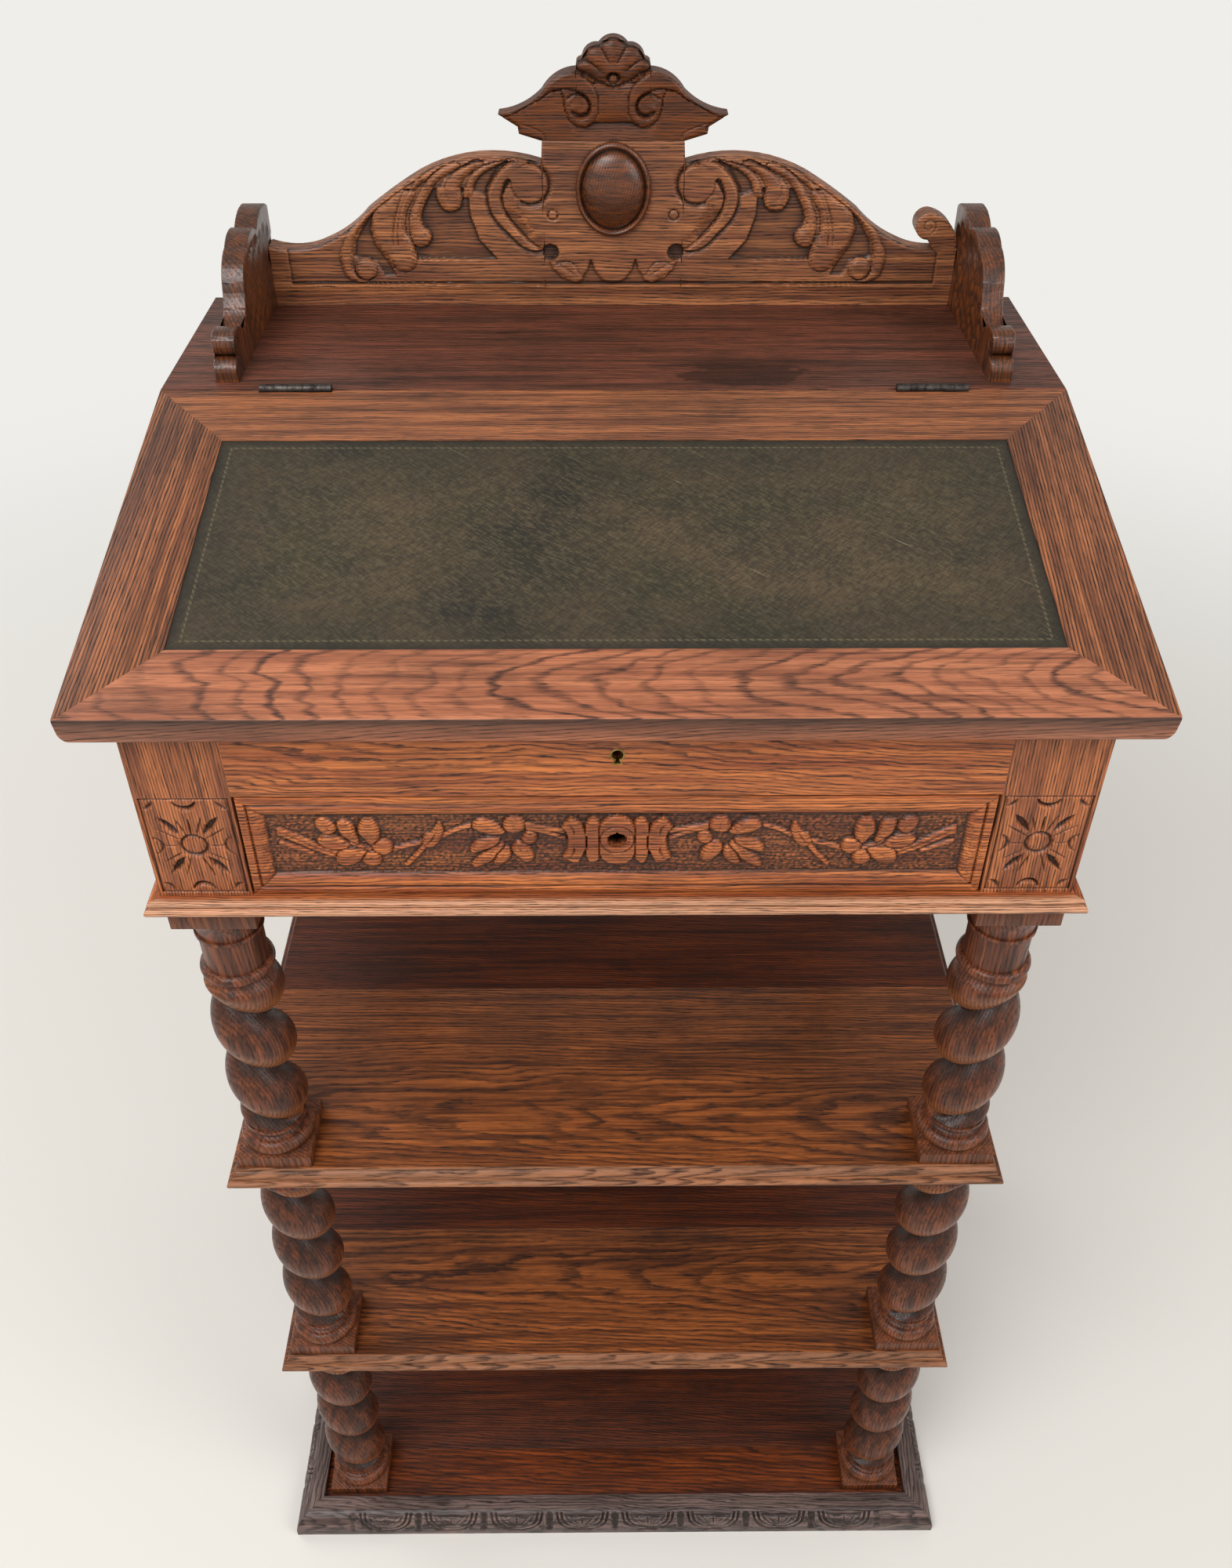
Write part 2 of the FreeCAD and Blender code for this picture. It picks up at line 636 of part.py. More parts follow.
# ---------------------------------------------------------------------------
# Case
# ---------------------------------------------------------------------------
def build_case_floor():
    """Case bottom with its drawer guides, and the mitred moulding round it."""
    half = f"({CASE_HALF} + moulding_reach)"
    front = f"({CASE_FRONT} - moulding_reach)"
    inner = f"({half} - moulding_strip)"
    inner_front = f"({front} + moulding_strip)"
    floor = box("CaseFloor", (f"-{inner}", inner), (inner_front, BACK), (CASE_UNDER, CASE_FLOOR))
    guides = []
    for side, sign in (("Left", -1), ("Right", 1)):
        span = (OPENING_HALF, f"({CASE_HALF} - case_side_thick)")
        across = span if sign > 0 else (f"-{span[1]}", f"-{span[0]}")
        depth = (FRAME_REAR, f"({BACK} - case_side_thick)")
        guides.append(box(f"Guide{side}", across, depth, (CASE_FLOOR, f"{CASE_FLOOR} + guide_height")))
    node(fuse("CaseBottom", floor, *guides), "case_bottom")

    run = extrude("CaseMouldingFrontRun", "YZ", f"-{half}", f"2 * {half}",
                  to_the_back(case_edge(), front, inner_front, CASE_UNDER, CASE_FLOOR))
    mitre = extrude("CaseMouldingFrontMitre", "XY", CASE_UNDER, "case_floor_thick", [
        (f"-{half}", front), (half, front), (inner, inner_front), (f"-{inner}", inner_front),
    ])
    node(common("CaseMouldingFront", run, mitre), "case_moulding_front")
    for side, sign in (("Left", "-1"), ("Right", "1")):
        section = shifted(case_edge(), f"{sign} * ({half} - {{}})", CASE_UNDER)
        section += [(f"{sign} * {inner}", CASE_FLOOR), (f"{sign} * {inner}", CASE_UNDER)]
        run = extrude(f"CaseMoulding{side}Run", "XZ", BACK, f"{BACK} - {front}", section)
        mitre = extrude(f"CaseMoulding{side}Mitre", "XY", CASE_UNDER, "case_floor_thick", [
            (f"{sign} * {half}", front), (f"{sign} * {half}", BACK),
            (f"{sign} * {inner}", BACK), (f"{sign} * {inner}", inner_front),
        ])
        node(common(f"CaseMoulding{side}", run, mitre), f"case_moulding_{side.lower()}")


def sloped_front(low, near, far):
    """Side outline of a front member cut to the slope of the lid."""
    return [(near, low), (far, low), (far, under_lid(far)), (near, under_lid(near))]


def build_case_walls():
    """Sides, back, stiles with their incised squares, top rail and floor."""
    half = CASE_HALF
    shelf_under = f"({TOP} - top_thick)"
    profile = [
        (FRAME_REAR, CASE_FLOOR),
        (BACK, CASE_FLOOR),
        (BACK, shelf_under),
        (HINGE_LINE, shelf_under),
        (HINGE_LINE, under_lid(HINGE_LINE)),
        (FRAME_REAR, under_lid(FRAME_REAR)),
    ]
    inside = f"({half} - case_side_thick)"
    node(extrude("CaseSideLeft", "YZ", f"-{half}", "case_side_thick", profile), "case_side_left")
    node(extrude("CaseSideRight", "YZ", inside, "case_side_thick", profile), "case_side_right")
    back_depth = (f"{BACK} - case_side_thick", BACK)
    node(box("CaseBack", (f"-{inside}", inside), back_depth, (CASE_FLOOR, shelf_under)), "case_back")

    middle = f"({CASE_FLOOR} + drawer_opening / 2)"
    for side, sign in (("Left", "-"), ("Right", "")):
        start = f"-{half}" if sign else OPENING_HALF
        board = extrude(f"Stile{side}Board", "YZ", start, "stile_width",
                        sloped_front(CASE_FLOOR, CASE_FRONT, FRAME_REAR))
        middle_x = f"{sign}({half} - stile_width / 2)"
        depth = (f"{CASE_FRONT} - 1", f"{CASE_FRONT} + panel_line_depth")
        rims = []
        for rim, inset in (("Outer", "panel_inset"), ("Inner", "(panel_inset + panel_line)")):
            reach = f"(stile_width / 2 - {inset})"
            rise = f"(drawer_opening / 2 - {inset})"
            rims.append(box(f"Stile{side}{rim}", (f"{middle_x} - {reach}", f"{middle_x} + {reach}"), depth,
                            (f"{middle} - {rise}", f"{middle} + {rise}")))
        line = cut(f"Stile{side}Line", *rims)
        node(cut(f"CaseStile{side}", board, line), f"case_stile_{side.lower()}")

    node(box("CompartmentFloor", (f"-{inside}", inside), (FRAME_REAR, f"{BACK} - case_side_thick"),
             (OPENING_TOP, COMPARTMENT)), "compartment_floor")


def keyhole(inset):
    """Outline of the lid's keyhole: a round head over a flared foot."""
    head, neck, foot = (f"(escutcheon_{part} - {inset})" for part in ("radius", "neck", "foot"))
    level = f"{OPENING_TOP} + lid_keyhole_height"
    shoulder = f"{level} - sqrt({head} ^ 2 - {neck} ^ 2)"
    low = f"{level} - escutcheon_drop + {inset}"
    return [
        (f"-{foot}", low), (foot, low), (neck, shoulder), via("0", f"{level} + {head}"), (f"-{neck}", shoulder),
    ]


def build_top_rail():
    """Front rail over the drawer with the lid's keyhole and its escutcheon."""
    rail = extrude("TopRailBoard", "YZ", f"-{OPENING_HALF}", f"2 * {OPENING_HALF}",
                   sloped_front(OPENING_TOP, CASE_FRONT, FRAME_REAR))
    bore = extrude("TopRailKeyhole", "XZ", f"{FRAME_REAR} + 1", "stile_thick + 2", keyhole("0"))
    mortise = box("DrawerBoltMortise", ("-(bolt_width / 2 + bolt_clear)", "bolt_width / 2 + bolt_clear"),
                  (f"{DRAWER_BOLT_FRONT} - bolt_clear", f"{DRAWER_BOLT_FRONT} + bolt_thick + bolt_clear"),
                  (f"{OPENING_TOP} - 1", f"{OPENING_TOP} + bolt_throw"))
    node(cut("CaseTopRail", rail, fuse("TopRailCuts", bore, mortise)), "case_top_rail")

    inner_end = f"{CASE_FRONT} + escutcheon_depth"
    outer = extrude("EscutcheonRim", "XZ", inner_end, "escutcheon_depth", keyhole("0"))
    inner = extrude("EscutcheonEye", "XZ", inner_end, "escutcheon_depth", keyhole("escutcheon_wall"))
    node(cut("LidEscutcheon", outer, inner), "lid_keyhole_escutcheon")


# ---------------------------------------------------------------------------
# Locks
# ---------------------------------------------------------------------------
DRAWER_FRONT_TOP = f"({OPENING_TOP} - drawer_top_clear)"
DRAWER_LOCK_FRONT = f"({CASE_FRONT} + drawer_front_thick - lock_thick)"
DRAWER_BOLT_FRONT = f"({DRAWER_LOCK_FRONT} + (lock_thick - bolt_thick) / 2)"
LID_LOCK_TOP = f"({under_lid(FRAME_REAR)} - lid_lock_drop)"
LID_LOCK_LOW = f"({LID_LOCK_TOP} / 3 + {COMPARTMENT} * 2 / 3)"
EYELET_REAR = f"({FRAME_REAR} + lid_lock_thick - lock_wall - bolt_clear)"
LID_BOLT_LEVEL = f"({LID_LOCK_TOP} - eyelet_drop / 2)"


def build_drawer_lock():
    """Lock case let into the drawer front, with a bolt that rises into the rail."""
    half = "lock_width / 2"
    low = f"({DRAWER_FRONT_TOP} - lock_height)"
    shell = box("DrawerLockShell", (f"-{half}", half), (DRAWER_LOCK_FRONT, f"{DRAWER_LOCK_FRONT} + lock_thick"),
                (low, DRAWER_FRONT_TOP))
    slot_half = "(bolt_width / 2 + bolt_clear)"
    slot_depth = (f"{DRAWER_BOLT_FRONT} - bolt_clear", f"{DRAWER_BOLT_FRONT} + bolt_thick + bolt_clear")
    slot = box("DrawerLockSlot", (f"-{slot_half}", slot_half), slot_depth,
               (f"{low} + lock_wall", f"{DRAWER_FRONT_TOP} + 1"))
    node(cut("DrawerLockCase", shell, slot), "drawer_lock_case")
    node(box("DrawerLockBolt", ("-bolt_width / 2", "bolt_width / 2"),
             (DRAWER_BOLT_FRONT, f"{DRAWER_BOLT_FRONT} + bolt_thick"),
             (f"{low} + lock_wall", DRAWER_FRONT_TOP)), "drawer_lock_bolt")


def build_lid_lock():
    """Lock case behind the rail; its bolt slides through the lid's eyelet."""
    half = "lock_width / 2"
    rear = f"({FRAME_REAR} + lid_lock_thick)"
    shell = box("LidLockShell", (f"-{half}", half), (FRAME_REAR, rear), (LID_LOCK_LOW, LID_LOCK_TOP))
    room = box("LidLockRoom", (f"-({half} - lock_wall)", f"{half} - lock_wall"),
               (f"{FRAME_REAR} + lock_wall", f"{rear} - lock_wall"),
               (f"{LID_BOLT_LEVEL} - bolt_thick / 2", f"{LID_BOLT_LEVEL} + bolt_thick"))
    slot = box("LidLockSlot", ("eyelet_offset - eyelet_thick / 2 - 1", "eyelet_offset + eyelet_thick / 2 + 1"),
               (f"{FRAME_REAR} + lock_wall", f"{rear} - lock_wall"),
               (f"{LID_LOCK_TOP} - eyelet_drop", f"{LID_LOCK_TOP} + 1"))
    node(cut("LidLockCase", shell, fuse("LidLockCuts", room, slot)), "lid_lock_case")

    tip = "(eyelet_offset - eyelet_thick / 2 - bolt_clear)"
    window = f"({EYELET_REAR} - eyelet_width / 2)"
    node(box("LidLockBolt", (f"{tip} - lid_bolt_length", tip),
             (f"{window} - bolt_thick / 2", f"{window} + bolt_thick / 2"),
             (f"{LID_BOLT_LEVEL} - bolt_thick / 2", f"{LID_BOLT_LEVEL} + bolt_thick / 2")), "lid_lock_bolt")

    blade_front = f"({EYELET_REAR} - eyelet_width)"
    plate_top = f"({under_lid(blade_front)} + lid_rest_gap + strike_plate_thick)"
    eyelet = box("EyeletBlade", ("eyelet_offset - eyelet_thick / 2", "eyelet_offset + eyelet_thick / 2"),
                 (blade_front, EYELET_REAR),
                 (f"{LID_LOCK_TOP} - eyelet_drop + 1", plate_top))
    gap = "(bolt_thick / 2 + bolt_clear)"
    eye = box("EyeletEye", ("eyelet_offset - eyelet_thick", "eyelet_offset + eyelet_thick"),
              (f"{window} - {gap}", f"{window} + {gap}"),
              (f"{LID_BOLT_LEVEL} - {gap}", f"{LID_BOLT_LEVEL} + {gap}"))
    blade = cut("Eyelet", eyelet, eye)
    near = f"({FRAME_REAR} + lock_wall)"
    near_top, rear_top = f"{under_lid(near)} + lid_rest_gap", f"{under_lid(rear)} + lid_rest_gap"
    plate = extrude("StrikePlateBoard", "YZ", f"-{half}", "lock_width", [
        (near, near_top),
        (rear, rear_top),
        (rear, f"{rear_top} + strike_plate_thick"),
        (near, f"{near_top} + strike_plate_thick"),
    ])
    node(fuse("LidStrikePlate", blade, plate), "lid_strike_plate")


# ---------------------------------------------------------------------------
# Top shelf, lid and hinges
# ---------------------------------------------------------------------------
def rounded_board(half, low, high):
    """Section of a board whose lower side edges are rounded."""
    inset = "lid_round"
    knee = "lid_round * 0.2929"
    return [
        (f"{half} - {inset}", low),
        via(f"{half} - {knee}", f"{low} + {knee}"),
        (half, f"{low} + {inset}"),
        (half, high),
        (f"-({half})", high),
        (f"-({half})", f"{low} + {inset}"),
        via(f"-({half}) + {knee}", f"{low} + {knee}"),
        (f"-({half}) + {inset}", low),
    ]


KNUCKLES = 5


def hinge_parts(side, centre):
    """Five-knuckle butt hinge: the fixed leaf keeps the pin and three knuckles."""
    step = f"(hinge_length / {KNUCKLES})"
    leaf_inner = "(lid_gap / 2 - hinge_leaf_proud)"
    left = f"({centre} - hinge_length / 2)"
    neck_low = f"{HINGE_AXIS} - hinge_barrel - hinge_play"
    leaves = {}
    for kind, sign in (("Fixed", 1), ("Moving", -1)):
        near = f"({HINGE_LINE} + {sign} * {leaf_inner})"
        far = f"({near} + {sign} * hinge_leaf_thick)"
        depth = (near, far) if sign > 0 else (far, near)
        pieces = [box(f"{kind}Leaf{side}", (left, f"{left} + hinge_length"), depth,
                      (f"{HINGE_AXIS} - hinge_leaf_height", neck_low))]
        for knuckle in range(0 if kind == "Fixed" else 1, KNUCKLES, 2):
            start = f"({left} + {knuckle} * {step} + hinge_play / 2)"
            reach = f"({step} - hinge_play)"
            pieces.append(cylinder(f"{kind}Knuckle{side}{knuckle}", "hinge_barrel", reach,
                                   (start, HINGE_LINE, HINGE_AXIS), Vector(1, 0, 0)))
            pieces.append(box(f"{kind}Neck{side}{knuckle}", (start, f"{start} + {reach}"), depth,
                              (neck_low, f"{HINGE_AXIS} - hinge_barrel / 2")))
        leaves[kind] = fuse(f"{kind}Blank{side}", *pieces)
    start = (left, HINGE_LINE, HINGE_AXIS)
    pin = cylinder(f"Pin{side}", "hinge_pin", "hinge_length", start, Vector(1, 0, 0))
    bore = cylinder(f"PinBore{side}", "hinge_pin + hinge_clear", "hinge_length", start, Vector(1, 0, 0))
    node(fuse(f"FixedHinge{side}", leaves["Fixed"], pin), f"hinge_fixed_leaf_{side.lower()}")
    node(cut(f"MovingHinge{side}", leaves["Moving"], bore), f"hinge_moving_leaf_{side.lower()}")


def hinge_housing(kind, sign):
    """Mortises for both leaves and notches round both barrels in one edge."""
    cuts = []
    for side, hand in (("Left", "-"), ("Right", "")):
        left = f"({hand}{HINGE_CENTRE} - hinge_length / 2)"
        face = f"({HINGE_LINE} + {sign} * (lid_gap / 2 - hinge_leaf_proud + hinge_leaf_thick))"
        depth = (HINGE_LINE, face) if sign > 0 else (face, HINGE_LINE)
        cuts.append(box(f"{kind}Mortise{side}", (left, f"{left} + hinge_length"), depth,
                        (f"{HINGE_AXIS} - hinge_leaf_height", f"{HINGE_AXIS} + 1")))
        start = (f"{left} - hinge_play", HINGE_LINE, HINGE_AXIS)
        cuts.append(cylinder(f"{kind}Notch{side}", "hinge_barrel + hinge_clear",
                             "hinge_length + 2 * hinge_play", start, Vector(1, 0, 0)))
    return fuse(f"{kind}Housing", *cuts)


def build_top_shelf():
    """Fixed board behind the lid, let in for the hinges."""
    front = f"({BACK} - top_depth)"
    board = extrude("TopShelfBoard", "XZ", BACK, f"{BACK} - {front}",
                    rounded_board(TOP_HALF, f"({TOP} - top_thick)", TOP))
    node(cut("TopShelf", board, hinge_housing("Shelf", 1)), "top_shelf")


def lid_place(item):
    """Lay a piece drawn on the lid's own plane onto the slope."""
    item.Placement = Placement(Vector(), Rotation(Vector(1, 0, 0), 1))
    bind(item, "Placement.Rotation.Angle", "lid_slope * 1 deg")
    return place(item, "0", HINGE_LINE, TOP)


def build_lid():
    """Mitred frame with a leather-covered panel.

    Drawn on the lid's own plane: Y runs up the slope to the hinge line at
    zero and Z is measured from the top face.
    """
    half = TOP_HALF
    rear = "(-(lid_gap / 2) / cos(lid_slope * 1 deg))"
    rear_low = f"({rear} - lid_thick * tan(lid_slope * 1 deg))"
    inner = f"({half} - lid_stile)"
    nose = f"-{LID_LENGTH}"
    opening = (f"-({LID_LENGTH} - lid_front_rail)", "-lid_rear_rail")
    sides = extrude("LidSides", "XZ", "lid_thick", f"{LID_LENGTH} + lid_thick",
                    rounded_board(half, "-lid_thick", "0"))
    run = extrude("LidRun", "YZ", f"-{half}", f"2 * {half}", [
        (nose, "lid_edge_low - lid_thick"),
        via(f"{nose} + lid_edge_low * 0.2929", "lid_edge_low * 0.2929 - lid_thick"),
        (f"{nose} + lid_edge_low", "-lid_thick"),
        (rear_low, "-lid_thick"),
        (rear, "0"),
        (f"{nose} + lid_edge_top", "0"),
        via(f"{nose} + lid_edge_top * 0.2929", "-lid_edge_top * 0.2929"),
        (nose, "-lid_edge_top"),
    ])
    window = box("LidWindow", (f"-{inner}", inner), opening, ("-lid_thick - 1", "1"))
    ring = cut("LidRing", common("LidSlab", sides, run), window)

    left, right = f"-({half} + 1)", f"({half} + 1)"
    ahead, behind = f"-({LID_LENGTH} + 1)", "lid_thick"
    corners = {
        "front": [(left, ahead), (right, ahead), (inner, opening[0]), (f"-{inner}", opening[0])],
        "rear": [(left, behind), (left, "1"), (f"-{inner}", opening[1]),
                 (inner, opening[1]), (right, "1"), (right, behind)],
        "left": [(left, ahead), (f"-{inner}", opening[0]), (f"-{inner}", opening[1]), (left, "1")],
        "right": [(right, ahead), (right, "1"), (inner, opening[1]), (inner, opening[0])],
    }
    members = {}
    for name, outline in corners.items():
        mitre = extrude(f"LidMitre{name.title()}", "XY", "-lid_thick - 1", "lid_thick + 2", outline)
        members[name] = lid_place(common(f"LidMember{name.title()}", ring, mitre))
    node(members["left"], "lid_stile_left")
    node(members["right"], "lid_stile_right")
    node(cut("LidRearRail", members["rear"], hinge_housing("Lid", -1)), "lid_rail_rear")

    room_low, room_high = f"({FRAME_REAR} + lock_wall)", f"({FRAME_REAR} + lid_lock_thick)"
    recess = extrude("StrikeRecess", "YZ", "-lock_width / 2", "lock_width", [
        (room_low, f"{under_lid(room_low)} - 1"),
        (room_high, f"{under_lid(room_high)} - 1"),
        (room_high, f"{under_lid(room_high)} + lid_rest_gap + strike_plate_thick"),
        (room_low, f"{under_lid(room_low)} + lid_rest_gap + strike_plate_thick"),
    ])
    node(cut("LidFrontRail", members["front"], recess), "lid_rail_front")

    leather_low = "-(leather_drop + leather_thick)"
    run = ("0", f"({opening[1]}) - ({opening[0]})")
    panel = box("LidPanel", ("0", f"2 * {inner}"), run, ("0", "panel_thick"))
    leather = box("LidLeather", ("0", f"2 * {inner}"), run, ("0", "leather_thick"))
    layers = ((panel, f"({leather_low} - panel_thick)", "lid_panel"), (leather, leather_low, "lid_leather"))
    for item, depth, label in layers:
        item.Placement = Placement(Vector(), Rotation(Vector(1, 0, 0), 1))
        bind(item, "Placement.Rotation.Angle", "lid_slope * 1 deg")
        place(item, f"-{inner}",
              f"{HINGE_LINE} + ({opening[0]}) * cos(lid_slope * 1 deg) - {depth} * sin(lid_slope * 1 deg)",
              f"{TOP} + ({opening[0]}) * sin(lid_slope * 1 deg) + {depth} * cos(lid_slope * 1 deg)")
        node(item, label)


# ---------------------------------------------------------------------------
# Gallery
# ---------------------------------------------------------------------------
def scaled(points, width, height, up):
    """Turn outline fractions into expressions of a width and a height."""
    found = []
    for point in points:
        across, rise = point[-2:]
        pair = (f"{across} * {width}", f"{up} + {rise} * {height}")
        found.append(via(*pair) if point[0] == "via" else pair)
    return found


def mirrored(right):
    """Close an outline with its own reflection."""
    left = []
    for point in right[::-1]:
        across, rise = point[-2:]
        pair = (f"-({across})", rise)
        left.append(via(*pair) if point[0] == "via" else pair)
    return right + left


def build_gallery():
    """Carved board with a curl at its right end and two pegs, its crest and the oval boss."""
    half = GALLERY_HALF
    face = f"({BACK} - gallery_thick)"
    wing = scaled([
        (1.0, 0.242), via(0.914, 0.225), (0.828, 0.256), via(0.764, 0.304), (0.707, 0.372),
        via(0.624, 0.452), (0.548, 0.516), via(0.385, 0.582), (0.202, 0.556),
    ], half, "gallery_height", TOP)
    joint = f"{TOP} + gallery_joint"
    neck = [(f"0.202 * {half}", joint)]
    board = extrude("GalleryBlank", "XZ", BACK, "gallery_thick", mirrored([(half, TOP)] + wing + neck))
    across, up = f"({half} - curl_setback)", f"({TOP} + 0.242 * gallery_height + 1.45 * curl_radius)"
    curl = extrude("GalleryCurl", "XZ", BACK, "gallery_thick", [
        (f"{across} + 0.8 * curl_radius", f"{up} - 2 * curl_radius"), (half, f"{up} - 2 * curl_radius"),
        (half, f"{up} - 1.3 * curl_radius"),
        via(f"{across} + 1.4 * curl_radius", f"{up} + 0.35 * curl_radius"), (across, f"{up} + curl_radius"),
        via(f"{across} - curl_radius", up), (across, f"{up} - curl_radius"),
    ])
    pegs = []
    for side, sign in (("Left", "-"), ("Right", "")):
        start = (f"{sign}peg_spread / 2", f"{face} - peg_proud", f"{TOP} + peg_height")
        pegs.append(cylinder(f"Peg{side}", "peg_radius", "peg_proud + 1", start, Vector(0, 1, 0)))
    node(fuse("GalleryBoard", board, curl, *pegs), "gallery_board")

    crest = scaled([
        (0.262, 0.667), (0.262, 0.691), (0.317, 0.736), via(0.243, 0.766), (0.197, 0.812),
        via(0.15, 0.872), (0.101, 0.89), via(0.1, 0.915), (0.086, 0.925), via(0.07, 0.962),
        (0.04, 0.972),
    ], half, "gallery_height", TOP)
    outline = mirrored([(f"0.202 * {half}", joint)] + crest)
    outline.insert(len(crest) + 1, via("0", f"{TOP} + gallery_height"))
    node(extrude("GalleryCrest", "XZ", BACK, "gallery_thick", outline), "gallery_crest")

    centre = f"{TOP} + boss_height"
    oval = doc.addObject("Part::Ellipse", "BossOval")
    oval.Placement = Placement(Vector(), Rotation(Vector(0, 0, 1), Vector(1, 0, 0), Vector(0, 1, 0), "ZXY"))
    bind(oval, "MajorRadius", "boss_rim_height / 2")
    bind(oval, "MinorRadius", "boss_rim_width / 2")
    place(oval, "0", face, centre)
    rim = doc.addObject("Part::Extrusion", "BossRim")
    rim.Base = oval
    rim.DirMode = "Custom"
    rim.Dir = Vector(0, -1, 0)
    rim.Solid = True
    bind(rim, "LengthFwd", "boss_rim_thick")
    dome = doc.addObject("Part::Ellipsoid", "BossDome")
    bind(dome, "Radius1", "boss_tall / 2")
    bind(dome, "Radius2", "boss_width / 2")
    bind(dome, "Radius3", "boss_swell")
    place(dome, "0", face, centre)
    room = box("BossRoom", ("-boss_width", "boss_width"), (f"{face} - 2 * boss_swell", face),
               (f"{centre} - boss_tall", f"{centre} + boss_tall"))
    node(fuse("GalleryBoss", rim, common("BossCap", dome, room)), "gallery_boss")


def build_brackets():
    """Scrolled brackets that hold the gallery at both ends."""
    outline = scaled([
        (1.0, 0.0), (1.0, 0.09), via(0.984, 0.165), (0.929, 0.196), via(0.962, 0.3), (0.907, 0.417),
        via(0.846, 0.4), (0.775, 0.298), via(0.698, 0.4), (0.648, 0.595), via(0.594, 0.78), (0.505, 0.869),
        via(0.4, 0.95), (0.286, 0.893), via(0.12, 1.0), (0.0, 0.93), (0.0, 0.0),
    ], BRACKET_DEPTH, "bracket_height", TOP)
    side_outline = []
    for point in outline:
        pair = (f"{BACK} - {point[-2]}", point[-1])
        side_outline.append(via(*pair) if point[0] == "via" else pair)
    left = f"-({GALLERY_HALF} + bracket_thick)"
    node(extrude("BracketLeft", "YZ", left, "bracket_thick", side_outline), "gallery_bracket_left")
    node(extrude("BracketRight", "YZ", GALLERY_HALF, "bracket_thick", side_outline), "gallery_bracket_right")


# ---------------------------------------------------------------------------
# Drawer
# ---------------------------------------------------------------------------
def attach(body, name, role, offset=None):
    """Add a sketch on one of a body's own origin planes."""
    sketch = body.newObject("Sketcher::SketchObject", name)
    plane = next(item for item in body.Origin.OriginFeatures if item.Role == role)
    sketch.AttachmentSupport = [(plane, "")]
    sketch.MapMode = "FlatFace"
    if offset:
        bind(sketch, "AttachmentOffset.Base.z", offset)
    return sketch


def build_drawer_front():
    """Solid front: a sunk field inside a plain frame, keyhole and lock mortise.

    Local frame: the middle of the lower edge of the rear face; the outer
    face looks along -Y.
    """
    half = f"({OPENING_HALF} - drawer_clear)"
    height = "(drawer_opening - drawer_lift - drawer_top_clear)"
    body = doc.addObject("PartDesign::Body", "DrawerFront")
    blank_outline = attach(body, "DrawerFrontOutline", "XZ_Plane")
    draw(blank_outline, rectangle(f"-{half}", half, "0", height))
    blank = body.newObject("PartDesign::Pad", "DrawerFrontBlank")
    blank.Profile = blank_outline
    bind(blank, "Length", "drawer_front_thick")

    field_outline = attach(body, "DrawerFieldOutline", "XZ_Plane", "drawer_front_thick")
    draw(field_outline, rectangle(f"-({half} - field_margin)", f"{half} - field_margin", "field_margin",
                                  f"{height} - field_margin"))
    field = body.newObject("PartDesign::Pocket", "DrawerField")
    field.Profile = field_outline
    bind(field, "Length", "field_depth")

    eye_outline = attach(body, "DrawerKeyholeOutline", "XZ_Plane", "drawer_front_thick")
    level = "keyhole_height - drawer_lift"
    eye = Part.Circle(Vector(0, number(level), 0), Vector(0, 0, 1), number("keyhole_radius"))
    eye_outline.addGeometry(eye, False)
    pin_point(eye_outline, 0, 3, "0", level)
    radius = eye_outline.addConstraint(Sketcher.Constraint("Radius", 0, number("keyhole_radius")))
    bind(eye_outline, f"Constraints[{radius}]", "keyhole_radius")
    keyhole = body.newObject("PartDesign::Pocket", "DrawerKeyhole")
    keyhole.Profile = eye_outline
    bind(keyhole, "Length", "drawer_front_thick - lock_thick + 0.5")

    lock_outline = attach(body, "DrawerLockOutline", "XZ_Plane")
    draw(lock_outline, rectangle("-lock_width / 2", "lock_width / 2", f"{height} - lock_height", height))
    lock = body.newObject("PartDesign::Pocket", "DrawerLockMortise")
    lock.Profile = lock_outline
    lock.Reversed = True
    bind(lock, "Length", "lock_thick")
    place(body, "0", f"{CASE_FRONT} + drawer_front_thick", f"{CASE_FLOOR} + drawer_lift")
    node(body, "drawer_front")


def build_drawer_box():
    """Sides, back and bottom of the drawer."""
    low = f"({CASE_FLOOR} + drawer_lift)"
    outer = f"({OPENING_HALF} - drawer_side_clear)"
    inner = f"({outer} - drawer_side_thick)"
    front = f"({CASE_FRONT} + drawer_front_thick)"
    rear = f"({BACK} - case_side_thick - drawer_rear_gap)"
    bottom = (f"{low} + drawer_bottom_lift", f"{low} + drawer_bottom_lift + drawer_bottom_thick")
    height = (low, f"{low} + drawer_side_height")
    node(box("DrawerSideLeft", (f"-{outer}", f"-{inner}"), (front, rear), height), "drawer_side_left")
    node(box("DrawerSideRight", (inner, outer), (front, rear), height), "drawer_side_right")
    node(box("DrawerBack", (f"-{inner}", inner), (f"{rear} - drawer_side_thick", rear), (bottom[1], height[1])),
         "drawer_back")
    node(box("DrawerBottom", (f"-{inner}", inner), (front, rear), bottom), "drawer_bottom")


# ---------------------------------------------------------------------------
# The desk
# ---------------------------------------------------------------------------
build_base()
build_shelf("LowShelf", "low_shelf", LOW_UNDER, "low_front_board")
build_shelf("HighShelf", "high_shelf", HIGH_UNDER, "high_front_board")
build_columns("lower", "base_board_top", "lower_height", False)
build_columns("middle", LOW_TOP, "middle_height", False)
build_columns("upper", HIGH_TOP, "upper_height", True)
build_case_floor()
build_case_walls()
build_top_rail()
build_top_shelf()
build_lid()
hinge_parts("Left", f"-{HINGE_CENTRE}")
hinge_parts("Right", HINGE_CENTRE)
build_lid_lock()
build_drawer_front()
build_drawer_box()
build_drawer_lock()
build_gallery()
build_brackets()
doc.recompute()

